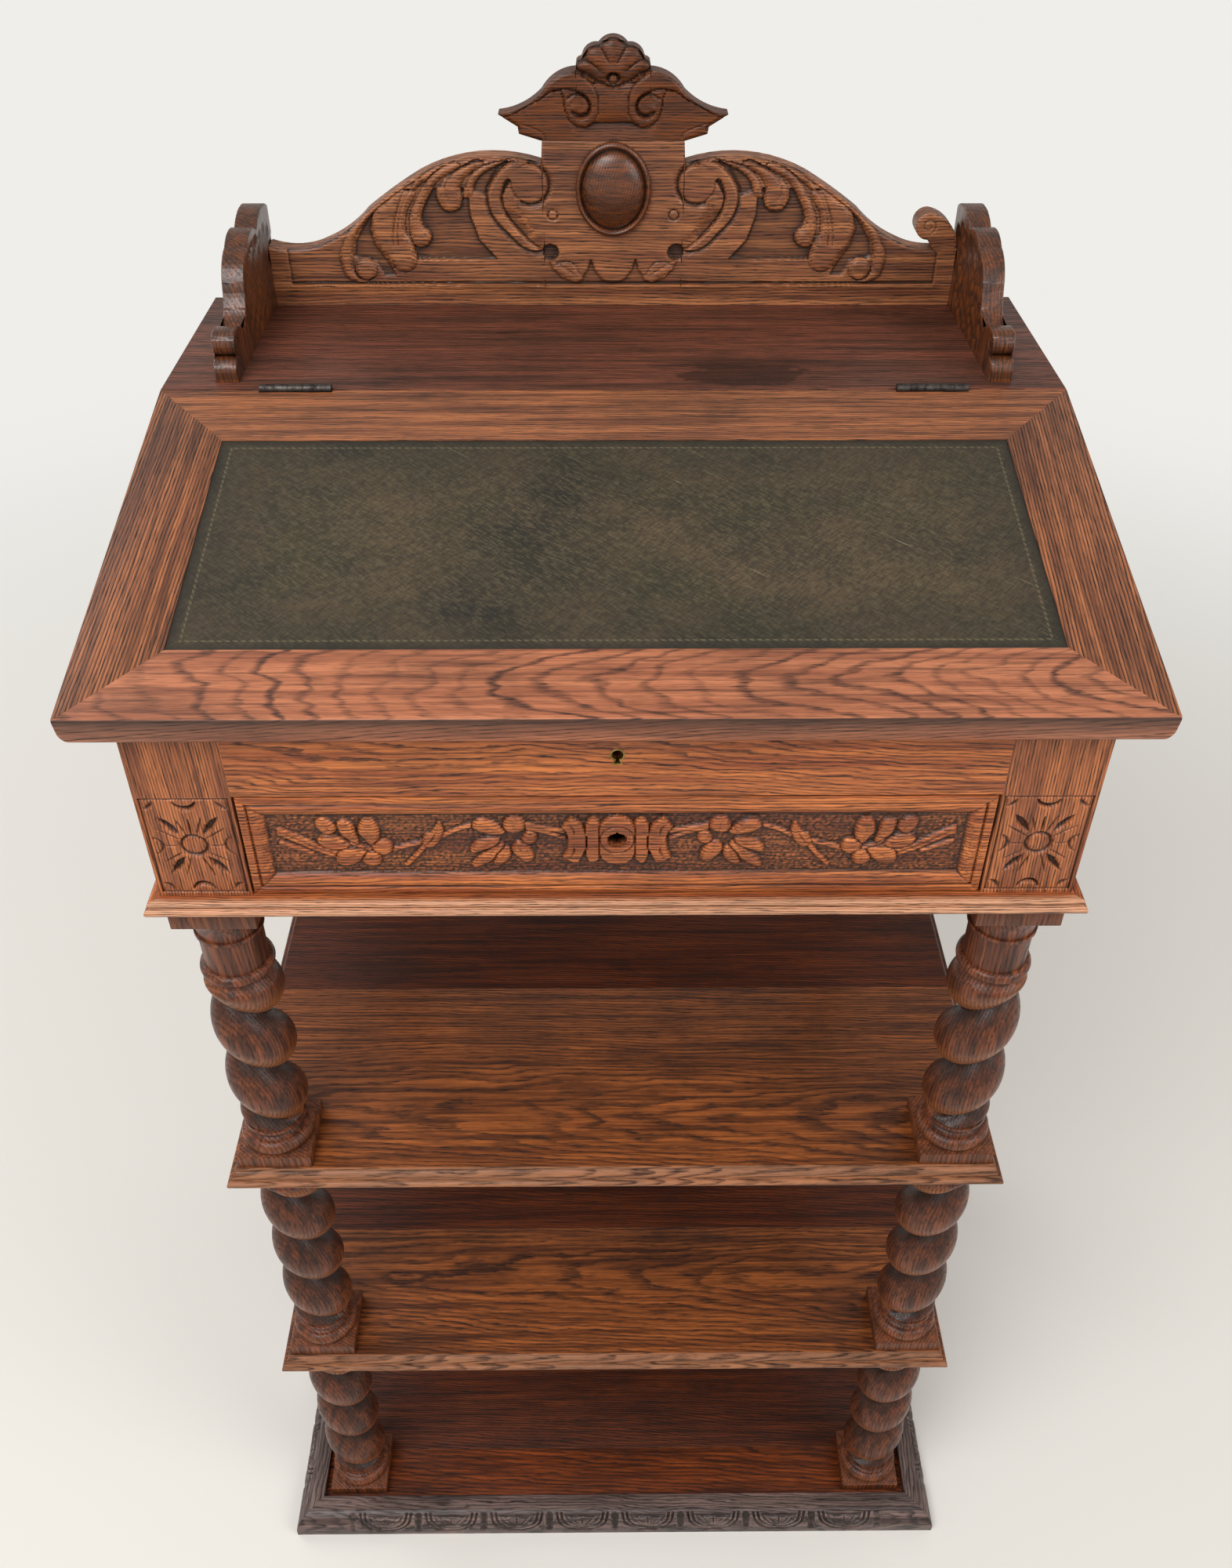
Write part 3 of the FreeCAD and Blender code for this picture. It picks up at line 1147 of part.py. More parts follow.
for item in doc.Objects:
    if {"Invalid", "Error"} & set(item.State):
        raise RuntimeError(f"{item.Name} did not rebuild")
for item in nodes:
    if item.Shape.isNull() or not item.Shape.isValid() or not item.Shape.Solids:
        raise RuntimeError(f"{item.Label} has no sound solid")

os.makedirs("parts", exist_ok=True)
for item in nodes:
    item.Shape.exportStep(f"parts/{item.Label}.step")
print(f"{len(nodes)} pieces written")
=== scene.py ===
"""Looks of the clerk's standing desk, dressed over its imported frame.

Lengths in this file are in millimetres. ``MM`` turns them into metres where
they reach a mesh or an object. Each shader's first mapping turns metres back
into millimetres, so that its pattern has the real size.
"""

import logging
import math
from collections.abc import Iterator, Sequence
from dataclasses import dataclass
from enum import Enum

import bmesh
import bpy
import numpy as np
from mathutils import Matrix, Vector


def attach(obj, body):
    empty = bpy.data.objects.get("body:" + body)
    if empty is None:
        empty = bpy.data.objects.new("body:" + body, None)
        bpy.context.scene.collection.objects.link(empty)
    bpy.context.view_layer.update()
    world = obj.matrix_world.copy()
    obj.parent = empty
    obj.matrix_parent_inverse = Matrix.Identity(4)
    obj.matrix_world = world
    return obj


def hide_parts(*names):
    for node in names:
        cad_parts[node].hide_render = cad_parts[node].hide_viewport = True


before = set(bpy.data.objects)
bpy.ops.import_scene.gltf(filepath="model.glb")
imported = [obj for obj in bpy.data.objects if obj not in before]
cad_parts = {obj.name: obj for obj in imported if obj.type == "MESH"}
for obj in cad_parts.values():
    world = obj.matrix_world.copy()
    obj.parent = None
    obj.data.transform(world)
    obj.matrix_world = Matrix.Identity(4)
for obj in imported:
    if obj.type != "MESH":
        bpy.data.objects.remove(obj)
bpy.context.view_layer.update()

MM = 0.001
WELD = 0.01  # Vertices nearer than this, in millimetres, become one.
LIP = 0.08  # Share of a board's thickness that its face's rim runs back first.
NEUTRAL = 0.5  # Relief value of wood that is neither hollow nor rubbed.
EASED = 0.62  # Relief value of a turned block's eased edges.
LID_SLOPE = 11.7  # Degrees.
GALLERY_FOOT = 1203.0
GALLERY_FACE = 249.0
GALLERY_BACK = 269.0
CASE_FACE = -232.0
CASE_REAR = -212.0

Points = Sequence[tuple[float, float]]
Tree = bpy.types.NodeTree
Socket = bpy.types.NodeSocket
BMesh = bmesh.types.BMesh
log = logging.getLogger("desk")


class Side(Enum):
    """An end of the desk, as its sign along X."""

    LEFT = -1
    RIGHT = 1

    @property
    def word(self) -> str:
        """Name of the end, as pieces carry it."""
        return self.name.lower()


# ---------------------------------------------------------------------------
# Colour and nodes
# ---------------------------------------------------------------------------
def linear(code: str) -> tuple[float, float, float, float]:
    """Turn an sRGB hex colour into the linear colour that shaders read.

    Args:
        code: Six hex digits after a hash.

    Returns:
        Linear red, green, blue and an alpha of one.
    """
    channels = [int(code[i : i + 2], 16) / 255 for i in (1, 3, 5)]
    red, green, blue = (c / 12.92 if c <= 0.04045 else ((c + 0.055) / 1.055) ** 2.4 for c in channels)
    return red, green, blue, 1.0


def add(tree: Tree, kind: str, links: dict | None = None, out: int | str = 0, **settings) -> Socket:
    """Add a shader node, set its properties and feed its sockets.

    Args:
        tree: Node tree that receives the node.
        kind: Blender's type name without its ShaderNode prefix.
        links: Socket name or index to a value, a hex colour or a socket.
        out: Name or index of the output wanted.
        **settings: Properties of the node itself.

    Returns:
        The output socket.
    """
    node = tree.nodes.new("ShaderNode" + kind)
    for name, value in settings.items():
        setattr(node, name, value)
    feed(node, links or {})
    return node.outputs[out]


def feed(node: bpy.types.Node, links: dict) -> None:
    """Link or set the inputs of a node.

    Args:
        node: The node.
        links: Socket name or index to a value, a hex colour or a socket.
    """
    for name, value in links.items():
        if isinstance(value, Socket):
            node.id_data.links.new(value, node.inputs[name])
        else:
            node.inputs[name].default_value = linear(value) if isinstance(value, str) else value


def start(name: str) -> tuple[bpy.types.Material, Tree, bpy.types.Node]:
    """Start a material.

    Args:
        name: Name of the finish.

    Returns:
        The material, its tree and its shader.
    """
    made = bpy.data.materials.new(name)
    made.use_nodes = True
    return made, made.node_tree, made.node_tree.nodes["Principled BSDF"]


# ---------------------------------------------------------------------------
# Finishes
# ---------------------------------------------------------------------------
class Grain(Enum):
    """Which way a board's grain runs, as the turn that brings it to X."""

    ALONG_X = (0.0, 0.0, 0.0)
    ALONG_Y = (0.0, 0.0, -math.pi / 2)
    ALONG_Z = (0.0, math.pi / 2, 0.0)
    ALONG_SLOPE = (-math.radians(LID_SLOPE), 0.0, -math.pi / 2)


@dataclass(frozen=True)
class Oak:
    """Sawn oak, stained, waxed and handled for a century.

    The open pores of each spring's growth take the stain darkest, so every
    year shows as a broken dark line beside a smooth lighter band. The
    carving's hollows go nearly black, partly with wax and partly as painted
    shade, and hands rub the high places bright; on the columns that
    brightness is painted light.
    """

    name: str
    light: str
    mid: str
    dark: str
    pore: str = "#1b0f09"
    grain: Grain = Grain.ALONG_X
    ring: float = 2.6
    spring: float = 0.55
    even: float = 0.6
    pith: tuple[float, float] = (60.0, -55.0)
    lean: tuple[float, float] = (1.6, 2.4)
    wander: float = 9.0
    seed: float = 0.0
    figure: float = 0.8
    pores: float = 0.85
    grime: float = 0.35
    spot: tuple[float, float, float] | None = None
    rubbed: str = ""
    shine: float = 0.4
    roughness: float = 0.46
    gloss: float = 0.06
    hollow: float = 0.88
    worn: float = 0.55
    touched: bool = True

    def material(self) -> bpy.types.Material:
        """Build the shader.

        Returns:
            A material over Object coordinates. Where ``touched`` is set it
            also reads the piece's relief attribute: 0 deep, 1 rubbed. Low
            values stand partly for painted shade; on the columns high values
            are painted light.
        """
        made, tree, shader = start(self.name)
        place = add(tree, "TexCoord", out="Object")
        turned = add(tree, "Mapping", {"Vector": place, "Rotation": self.grain.value, "Scale": (1000.0,) * 3})
        shift = (self.seed * 731.0, self.seed * 57.0, self.seed * 23.0)
        board = add(tree, "VectorMath", {0: turned, 1: shift}, operation="ADD")
        early = self._rings(tree, turned, board)
        open_pore = self._pores(tree, board, early)

        colour = self.mid
        # Source, or a noise's scales for each millimetre; where its share starts and is full; most share; colour.
        drawn = [
            ((0.005, 0.14, 0.14), 0.38, 0.60, 1.0, self.light),
            ((0.010, 0.45, 0.45), 0.48, 0.66, 0.75, self.dark),
            (early, 0.0, 1.0, self.figure, self.dark),
            (open_pore, 0.0, 1.0, self.pores, self.pore),
            ((0.006, 0.011, 0.011), 0.50, 0.74, self.grime, self.pore),
            ((0.022, 0.045, 0.045), 0.57, 0.70, 0.6 * self.grime, self.pore),
        ]
        if self.spot:
            drawn.append((self._spill(tree, turned), 1.0, 0.9, 0.6, self.pore))
        if self.touched:
            relief = add(tree, "Attribute", out="Fac", attribute_name="relief")
            # High relief takes the rubbed colour: wear, and on the columns painted light.
            drawn.insert(2, (relief, 0.56, 0.95, self.worn, self.rubbed or self.light))
            # Low relief takes the pore colour: wax and painted shade in the hollows, and painted shade on the
            # columns.
            drawn.append((relief, 0.46, 0.10, self.hollow, self.pore))
        for source, low, high, most, over in drawn:
            if isinstance(source, tuple):
                stretched = add(tree, "VectorMath", {0: board, 1: source}, operation="MULTIPLY")
                noise = {"Vector": stretched, "Scale": 1.0, "Detail": 5.0, "Roughness": 0.62}
                source = add(tree, "TexNoise", noise)
            share = add(tree, "MapRange", {0: source, 1: low, 2: high, 3: 0.0, 4: most})
            colour = add(tree, "Mix", {0: share, 6: colour, 7: over}, out=2, data_type="RGBA")

        height = add(tree, "Math", {0: early, 1: 0.45, 2: open_pore}, operation="MULTIPLY_ADD")
        sunk = add(tree, "Math", {0: height, 1: -1.0}, operation="MULTIPLY")
        feed(shader, {
            "Base Color": colour,
            "Roughness": add(tree, "Math", {0: open_pore, 1: 0.25, 2: self.roughness}, operation="MULTIPLY_ADD"),
            "Normal": add(tree, "Bump", {"Height": sunk, "Strength": 0.55, "Distance": 0.4 * MM}),
            "Specular IOR Level": self.shine,
            "Coat Weight": self.gloss,
            "Coat Roughness": 0.24,
        })  # fmt: skip
        return made

    def _rings(self, tree: Tree, turned: Socket, board: Socket) -> Socket:
        """Draw yearly growth about a pith line that leans and wanders.

        Args:
            tree: Node tree that receives the nodes.
            turned: Position with the grain along X, in millimetres.
            board: The same, moved along for this board.

        Returns:
            Socket that is 1 in the porous spring growth and 0 elsewhere,
            fainter in a lean year.
        """
        stretched = add(tree, "VectorMath", {0: board, 1: (0.0035, 0.014, 0.014)}, operation="MULTIPLY")
        noise = {"Vector": stretched, "Scale": 1.0, "Detail": 6.0, "Roughness": 0.56}
        drift = add(tree, "TexNoise", noise, out="Color")
        drift = add(tree, "VectorMath", {0: drift, 1: (0.5,) * 3}, operation="SUBTRACT")
        drift = add(tree, "VectorMath", {0: drift, "Scale": self.wander * 5.0}, operation="SCALE")
        links = {
            "Vector": turned,
            "Rotation": (0.0, math.radians(self.lean[0]), math.radians(self.lean[1])),
            "Location": (0.0, -self.pith[0], -self.pith[1]),
        }
        leaning = add(tree, "Mapping", links)
        warped = add(tree, "VectorMath", {0: leaning, 1: drift}, operation="ADD")
        across = add(tree, "VectorMath", {0: warped, 1: (0.0, 1.0, 1.0)}, operation="MULTIPLY")
        radius = add(tree, "VectorMath", {0: across}, out="Value", operation="LENGTH")
        count = add(tree, "Math", {0: radius, 1: self.ring}, operation="DIVIDE")
        year = add(tree, "Math", {0: count}, operation="FRACT")
        fall = {0: year, 1: 0.03, 2: self.spring, 3: 1.0, 4: 0.0}
        after = add(tree, "MapRange", fall, interpolation_type="SMOOTHSTEP")
        before = add(tree, "MapRange", {0: year, 1: 0.86, 2: 1.0})
        early = add(tree, "Math", {0: after, 1: before}, operation="MAXIMUM")
        which = add(tree, "Math", {0: count, 1: 0.5}, operation="ADD")
        which = add(tree, "Math", {0: which}, operation="FLOOR")
        chance = add(tree, "TexWhiteNoise", {"W": which}, noise_dimensions="1D")
        plenty = add(tree, "MapRange", {0: chance, 3: self.even, 4: 1.1})
        return add(tree, "Math", {0: early, 1: plenty}, operation="MULTIPLY")

    def _spill(self, tree: Tree, turned: Socket) -> Socket:
        """Measure from the middle of an old spill, its rim uneven.

        Args:
            tree: Node tree that receives the nodes.
            turned: Position with the grain along X, in millimetres.

        Returns:
            Socket that is 1 at the spill's rim and less inside.
        """
        x, y, size = self.spot
        offset = add(tree, "VectorMath", {0: turned, 1: (x, y, 0.0)}, operation="SUBTRACT")
        scaled = add(tree, "VectorMath", {0: offset, 1: (1 / size, 2.6 / size, 0.0)}, operation="MULTIPLY")
        uneven = add(tree, "TexNoise", {"Vector": scaled, "Scale": 1.6, "Detail": 4.0})
        away = add(tree, "VectorMath", {0: scaled}, out="Value", operation="LENGTH")
        inside = add(tree, "Math", {0: away, 1: 0.8}, operation="SUBTRACT")
        return add(tree, "Math", {0: uneven, 1: 1.6, 2: inside}, operation="MULTIPLY_ADD")

    def _pores(self, tree: Tree, board: Socket, early: Socket) -> Socket:
        """Draw open pores: dark strokes along the grain, densest in spring growth.

        Real pores are a third of a millimetre wide; these are drawn about
        twice that, so that they show.

        Args:
            tree: Node tree that receives the nodes.
            board: Position with the grain along X, in millimetres.
            early: Share of spring growth.

        Returns:
            Socket that is 1 in an open pore.
        """
        stretched = add(tree, "VectorMath", {0: board, 1: (0.06, 0.95, 0.95)}, operation="MULTIPLY")
        stroke = add(tree, "TexNoise", {"Vector": stretched, "Scale": 1.0, "Detail": 2.0, "Roughness": 0.6})
        dash = add(tree, "MapRange", {0: stroke, 1: 0.50, 2: 0.62})
        crowd = add(tree, "Math", {0: early, 1: 0.85, 2: 0.3}, operation="MULTIPLY_ADD")
        return add(tree, "Math", {0: dash, 1: crowd}, operation="MULTIPLY", use_clamp=True)


@dataclass(frozen=True)
class OldMetal:
    """Worked metal: iron darkened by oil and handling, or brass rubbed dull.

    Tarnish drifts in patches of a few millimetres, dull where it is dark.
    """

    name: str
    bright: str
    dull: str
    roughness: float = 0.42
    patch: float = 6.0

    def material(self) -> bpy.types.Material:
        """Build the shader.

        Returns:
            The metal's material.
        """
        made, tree, shader = start(self.name)
        place = add(tree, "TexCoord", out="Object")
        noise = {"Vector": place, "Scale": 1000.0 / self.patch, "Detail": 6.0, "Roughness": 0.65}
        cloud = add(tree, "TexNoise", noise)
        patchy = add(tree, "MapRange", {0: cloud, 1: 0.36, 2: 0.62})
        feed(shader, {
            "Base Color": add(tree, "Mix", {0: patchy, 6: self.dull, 7: self.bright}, out=2, data_type="RGBA"),
            "Roughness": add(tree, "MapRange", {0: patchy, 3: self.roughness + 0.2, 4: self.roughness}),
            "Normal": add(tree, "Bump", {"Height": cloud, "Strength": 0.3, "Distance": 0.1 * MM}),
            "Metallic": 0.9,
        })  # fmt: skip
        return made


@dataclass(frozen=True)
class DeskLeather:
    """Dyed hide glued in the lid, tooled with a dotted line round its edge.

    The black-green dye has worn brown in drifts and the grain shows as a
    fine slanting crackle; the tooled line is pressed in and catches dust.
    """

    name: str = "tooled_hide"
    dye: str = "#211f19"
    faded: str = "#574530"
    bloom: str = "#36331f"
    dust: str = "#61553f"
    hinge: tuple[float, float] = (73.5, GALLERY_FOOT)
    half: float = 290.0
    run: tuple[float, float] = (-277.5, -62.0)
    line_inset: float = 8.5
    dot: float = 2.6

    def material(self) -> bpy.types.Material:
        """Build the shader in the lid's own plane.

        Returns:
            The leather's material.
        """
        made, tree, shader = start(self.name)
        place = add(tree, "TexCoord", out="Object")
        scaled = add(tree, "VectorMath", {0: place, "Scale": 1000.0}, operation="SCALE")
        centred = add(tree, "VectorMath", {0: scaled, 1: (0.0, *self.hinge)}, operation="SUBTRACT")
        flat = add(tree, "Mapping", {"Vector": centred, "Rotation": (-math.radians(LID_SLOPE), 0.0, 0.0)})
        slanted = add(tree, "Mapping", {"Vector": flat, "Rotation": (0.0, 0.0, math.radians(38))})
        crossed = add(tree, "Mapping", {"Vector": flat, "Rotation": (0.0, 0.0, math.radians(-47))})
        edge, dots = self._tooling(tree, flat)
        colour, shares = self.dye, []
        # Plane, noise's scales for each millimetre, where its share starts and is full, most share, colour.
        drawn = (
            (flat, (0.006, 0.009, 0.009), 0.34, 0.56, 0.75, self.bloom),
            (flat, (0.008, 0.012, 0.012), 0.38, 0.64, 0.80, self.faded),
            (flat, (0.022, 0.030, 0.030), 0.56, 0.74, 0.45, self.dye),
            (slanted, (0.16, 0.75, 0.5), 0.46, 0.60, 0.55, self.dust),
            (crossed, (0.16, 0.75, 0.5), 0.46, 0.60, 0.55, self.dye),
            (slanted, (0.016, 0.50, 0.4), 0.705, 0.73, 0.6, "#9a8d6c"),
        )
        for space, scale, low, high, most, over in drawn:
            stretched = add(tree, "VectorMath", {0: space, 1: scale}, operation="MULTIPLY")
            noise = add(tree, "TexNoise", {"Vector": stretched, "Scale": 1.0, "Detail": 4.0, "Roughness": 0.62})
            shares.append(add(tree, "MapRange", {0: noise, 1: low, 2: high, 3: 0.0, 4: most}))
            colour = add(tree, "Mix", {0: shares[-1], 6: colour, 7: over}, out=2, data_type="RGBA")
        rim = add(tree, "MapRange", {0: edge, 1: 9.0, 2: 0.0, 3: 0.0, 4: 0.8})
        border = add(tree, "MapRange", {0: edge, 1: 70.0, 2: 0.0, 3: 0.0, 4: 0.45})
        for share, over in ((border, self.dye), (rim, self.dye), (dots, "#6a6048")):
            colour = add(tree, "Mix", {0: share, 6: colour, 7: over}, out=2, data_type="RGBA")
        pressed = add(tree, "Math", {0: dots, 1: -1.5, 2: shares[3]}, operation="MULTIPLY_ADD")
        feed(shader, {
            "Base Color": colour,
            "Roughness": add(tree, "MapRange", {0: shares[1], 3: 0.50, 4: 0.64}),
            "Normal": add(tree, "Bump", {"Height": pressed, "Strength": 0.35, "Distance": 0.35 * MM}),
            "IOR": 1.40,
        })  # fmt: skip
        return made

    def _tooling(self, tree: Tree, flat: Socket) -> tuple[Socket, Socket]:
        """Lay out the dotted line round the leather.

        Args:
            tree: Node tree that receives the nodes.
            flat: Position in the lid's plane, in millimetres.

        Returns:
            Distance in from the leather's edge, and the share of a dot.
        """
        sides, parts = [], []
        middle = (self.run[0] + self.run[1]) / 2
        for axis, centre, half in (("X", 0.0, self.half), ("Y", middle, (self.run[1] - self.run[0]) / 2)):
            parts.append(add(tree, "SeparateXYZ", {0: flat}, out=axis))
            offset = add(tree, "Math", {0: parts[-1], 1: centre}, operation="SUBTRACT")
            reach = add(tree, "Math", {0: offset}, operation="ABSOLUTE")
            sides.append(add(tree, "Math", {0: half, 1: reach}, operation="SUBTRACT"))
        edge = add(tree, "Math", {0: sides[0], 1: sides[1]}, operation="MINIMUM")
        near = add(tree, "Math", {0: edge, 1: self.line_inset, 2: 0.8}, operation="COMPARE")
        along = add(tree, "Math", {0: parts[0], 1: parts[1]}, operation="ADD")
        beat = add(tree, "Math", {0: along, 1: self.dot}, operation="PINGPONG")
        beat = add(tree, "MapRange", {0: beat, 1: 0.8 * self.dot, 2: 0.35 * self.dot, 3: 0.0, 4: 0.55})
        return edge, add(tree, "Math", {0: near, 1: beat}, operation="MULTIPLY")


class Tone(Enum):
    """Colours of the desk's woods: light, middle and dark of each."""

    FRAME = ("#d27a3e", "#994c26", "#4b2211")
    STILE = ("#c07241", "#8b4c2c", "#4c2617")
    LID = ("#ab683f", "#74432a", "#381d12")
    LID_FRONT = ("#bb7450", "#9a5a3d", "#4c2a1e")
    SHELF = ("#a15a2b", "#67361b", "#30180d")
    # Painted shade: SHELF and BOTTOM darkened for the rear boards, which lie in the shade under the case.
    SHADED = ("#6d3214", "#481e0f", "#1e0f08")
    TOP = ("#884c38", "#5b3729", "#28170f")
    TURNED = ("#844729", "#4c281a", "#1d0e09")
    # Its purple-grey light colour is partly painted sheen.
    BASE = ("#7d645e", "#43302c", "#17100e")
    BOTTOM = ("#8d4218", "#59270e", "#231007")
    CARVED = ("#b87548", "#7f4a31", "#3a2015")
    # Darker than CARVED, for the crest, boss and brackets: partly their own darker polish, partly painted shade.
    CREST = ("#7a3f17", "#4d2813", "#28150c")
    INSIDE = ("#8a5f42", "#6f4a32", "#432a1a")


def oak(name: str, tone: Tone, **changes) -> Oak:
    """Name a board's oak by its tone.

    Args:
        name: Name of the finish.
        tone: Colours of the wood.
        **changes: Other fields of the finish.

    Returns:
        The finish.
    """
    light, mid, dark = tone.value
    return Oak(name, light, mid, dark, **changes)


Finish = Oak | OldMetal | DeskLeather


class Cabinet:
    """Finishes made so far, so that each is built once."""

    made: dict[str, bpy.types.Material] = {}

    @classmethod
    def material(cls, finish: Finish) -> bpy.types.Material:
        """Give a finish's material, building it the first time."""
        if finish.name not in cls.made:
            cls.made[finish.name] = finish.material()
        return cls.made[finish.name]


# ---------------------------------------------------------------------------
# Shapes
# ---------------------------------------------------------------------------
def smooth_line(points: Points, closed: bool = False, steps: int = 6) -> np.ndarray:
    """Run a smooth line through its points.

    Args:
        points: Points that the line passes.
        closed: Whether it ends where it starts.
        steps: Pieces between two points.

    Returns:
        The line's points, one row each.
    """
    knots = np.asarray(points, float)
    if closed:
        knots = np.vstack([knots[-1:], knots, knots[:2]])
    else:
        knots = np.vstack([2 * knots[0] - knots[1], knots, 2 * knots[-1] - knots[-2]])
    t = np.linspace(0, 1, steps, endpoint=False)[:, None]
    runs = [
        0.5 * (2 * b + (c - a) * t + (2 * a - 5 * b + 4 * c - d) * t**2 + (3 * b - a - 3 * c + d) * t**3)
        for a, b, c, d in zip(knots, knots[1:], knots[2:], knots[3:])
    ]
    line = np.vstack(runs)
    return line if closed else np.vstack([line, knots[-2:-1]])


@dataclass
class Relief:
    """Carving over a flat face, as heights on a fine grid.

    Heights are out of the face, so a sunk ground is negative. With ``twin``
    set, each cut is made on both sides of the middle, as a carver works.
    """

    across: tuple[float, float]
    up: tuple[float, float]
    cell: float = 0.5
    level: float = 0.0
    twin: bool = False
    edge_reach: float = 1.0
    form_reach: float = 6.0

    def __post_init__(self) -> None:
        """Lay out the grid at the starting level."""
        columns = np.arange(self.across[0], self.across[1] + self.cell, self.cell)
        rows = np.arange(self.up[0], self.up[1] + self.cell, self.cell)
        self.x, self.z = np.meshgrid(columns, rows)
        self.height = np.full(self.x.shape, self.level)

    def _window(self, points: np.ndarray, pad: float) -> tuple[slice, slice]:
        """Give the part of the grid that lies within ``pad`` of the points."""
        low, high = points.min(0) - pad, points.max(0) + pad
        rows, columns = (
            slice(max(int((low[k] - edge) / self.cell), 0), max(int((high[k] - edge) / self.cell) + 2, 0))
            for k, edge in ((1, self.up[0]), (0, self.across[0]))
        )
        return rows, columns

    def _nearest(self, line: np.ndarray, view: tuple[slice, slice], closed: bool) -> tuple[np.ndarray, np.ndarray]:
        """Measure from each cell to a line.

        Args:
            line: The line's points.
            view: Part of the grid to measure.
            closed: Whether the line ends where it starts.

        Returns:
            Distance to the line, and the share of its length passed there.
        """
        px, pz = self.x[view], self.z[view]
        ends = np.vstack([line, line[:1]]) if closed else line
        steps = np.hypot(*np.diff(ends, axis=0).T)
        best, along, passed = np.full(px.shape, np.inf), np.zeros(px.shape), 0.0
        for a, b, step in zip(ends[:-1], ends[1:], steps):
            if step < 1e-9:
                continue
            way = (b - a) / step
            t = np.clip((px - a[0]) * way[0] + (pz - a[1]) * way[1], 0, step)
            gap = np.hypot(px - a[0] - t * way[0], pz - a[1] - t * way[1])
            closer = gap < best
            best = np.where(closer, gap, best)
            along = np.where(closer, (passed + t) / steps.sum(), along)
            passed += step
        return best, along

    def _strokes(self, points: Points, pad: float, closed: bool = False, round_off: bool = True) -> Iterator[tuple]:
        """Lay a line on each side that is carved, and measure from it.

        Args:
            points: Points of the line on the right, or on the left.
            pad: Reach of the tool beyond the line.
            closed: Whether the line ends where it starts.
            round_off: Run a smooth line through the points.

        Yields:
            The line, the part of the grid near it, the distance of each cell
            there, and the share of the line's length passed.
        """
        for way in ((1, 1), (-1, 1)) if self.twin else ((1, 1),):
            line = np.asarray(points, float) * way
            line = smooth_line(line, closed) if round_off else line
            view = self._window(line, pad)
            yield line, view, *self._nearest(line, view, closed)

    def _within(self, outline: np.ndarray, view: tuple[slice, slice]) -> np.ndarray:
        """Tell which cells lie inside a closed outline."""
        px, pz = self.x[view], self.z[view]
        inside = np.zeros(px.shape, bool)
        for a, b in zip(outline, np.roll(outline, -1, 0)):
            if a[1] != b[1]:
                crosses = (a[1] > pz) != (b[1] > pz)
                inside ^= crosses & (px < (b[0] - a[0]) * (pz - a[1]) / (b[1] - a[1]) + a[0])
        return inside

    def pillow(self, points: Points, foot: float, crown: float, edge: float, round_off: bool = True) -> None:
        """Put a form with rounded edges in the place of what is there.

        Args:
            points: Outline of the form.
            foot: Height at its edge.
            crown: Height of its top.
            edge: Distance from the edge to the top.
            round_off: Run a smooth line through the outline's points.
        """
        for outline, view, depth, _ in self._strokes(points, 1.0, closed=True, round_off=round_off):
            share = np.clip(depth / edge, 0, 1)
            form = foot + (crown - foot) * np.sqrt(1 - (1 - share) ** 2)
            self.height[view] = np.where(self._within(outline, view), form, self.height[view])

    def sink(self, points: Points, level: float, wall: float, round_off: bool = False) -> None:
        """Lower the ground inside an outline.

        Args:
            points: Outline of the sunk ground.
            level: Height of its floor.
            wall: Breadth of the sloping wall round it.
            round_off: Run a smooth line through the outline's points.
        """
        for outline, view, depth, _ in self._strokes(points, 1.0, closed=True, round_off=round_off):
            share = np.clip(depth / wall, 0, 1)
            under = self.height[view]
            floor = np.minimum(under, level + (under - level) * (1 - share))
            self.height[view] = np.where(self._within(outline, view), floor, under)

    def groove(self, points: Points, width: float, depth: float, taper: float = 0.0, closed: bool = False) -> None:
        """Cut a V along a line.

        Args:
            points: Points that the cut passes.
            width: Half breadth of the cut.
            depth: Depth of the cut.
            taper: Share by which the cut thins towards both ends.
            closed: Whether it ends where it starts.
        """
        for _, view, gap, along in self._strokes(points, width + 1, closed):
            size = 1 - taper * np.abs(2 * along - 1) ** 1.5
            self.height[view] -= depth * size * np.clip(1 - gap / (width * np.maximum(size, 0.05)), 0, 1)

    def scoop(self, points: Points, width: float, depth: float) -> None:
        """Hollow a soft channel along a line, ``width`` to each side of it."""
        for _, view, gap, _ in self._strokes(points, width + 1):
            self.height[view] -= depth * np.clip(1 - (gap / width) ** 2, 0, 1)

    def rib(self, points: Points, width: float, foot: float, crown: float, taper: float = 0.0) -> None:
        """Raise a rounded rib along a line.

        Args:
            points: Points that the rib passes.
            width: Half breadth of the rib.
            foot: Height at its edges.
            crown: Height of its top.
            taper: Share by which it thins towards its end.
        """
        for _, view, gap, along in self._strokes(points, width + 1):
            reach = width * (1 - taper * along)
            share = np.clip(1 - gap / reach, 0, 1)
            form = foot + (crown - foot) * np.sqrt(1 - (1 - share) ** 2)
            self.height[view] = np.where(gap < reach, np.maximum(self.height[view], form), self.height[view])

    @staticmethod
    def ring(centre: tuple[float, float], radius: float) -> Points:
        """Give points on a circle."""
        turns = np.linspace(0, 2 * math.pi, 16, endpoint=False)
        return [(centre[0] + radius * math.cos(t), centre[1] + radius * math.sin(t)) for t in turns]

    def pit(self, points: Points, pitch: float, depth: float, seed: int) -> None:
        """Punch a ground with a matting tool: close small dents.

        Args:
            points: Outline of the ground.
            pitch: Distance between dents.
            depth: Depth of the dents.
            seed: Start of the run of chance.
        """
        outline = np.asarray(points, float)
        view = self._window(outline, 0)
        chance = np.random.default_rng(seed)
        rough = chance.random(self.height[view].shape)
        reach = max(int(pitch / self.cell / 2), 1)
        soft = blurred(rough, reach)
        soft = (soft - soft.mean()) / (soft.std() + 1e-9)
        self.height[view] += np.where(self._within(outline, view), np.clip(soft, -1.5, 1.5) * depth, 0)

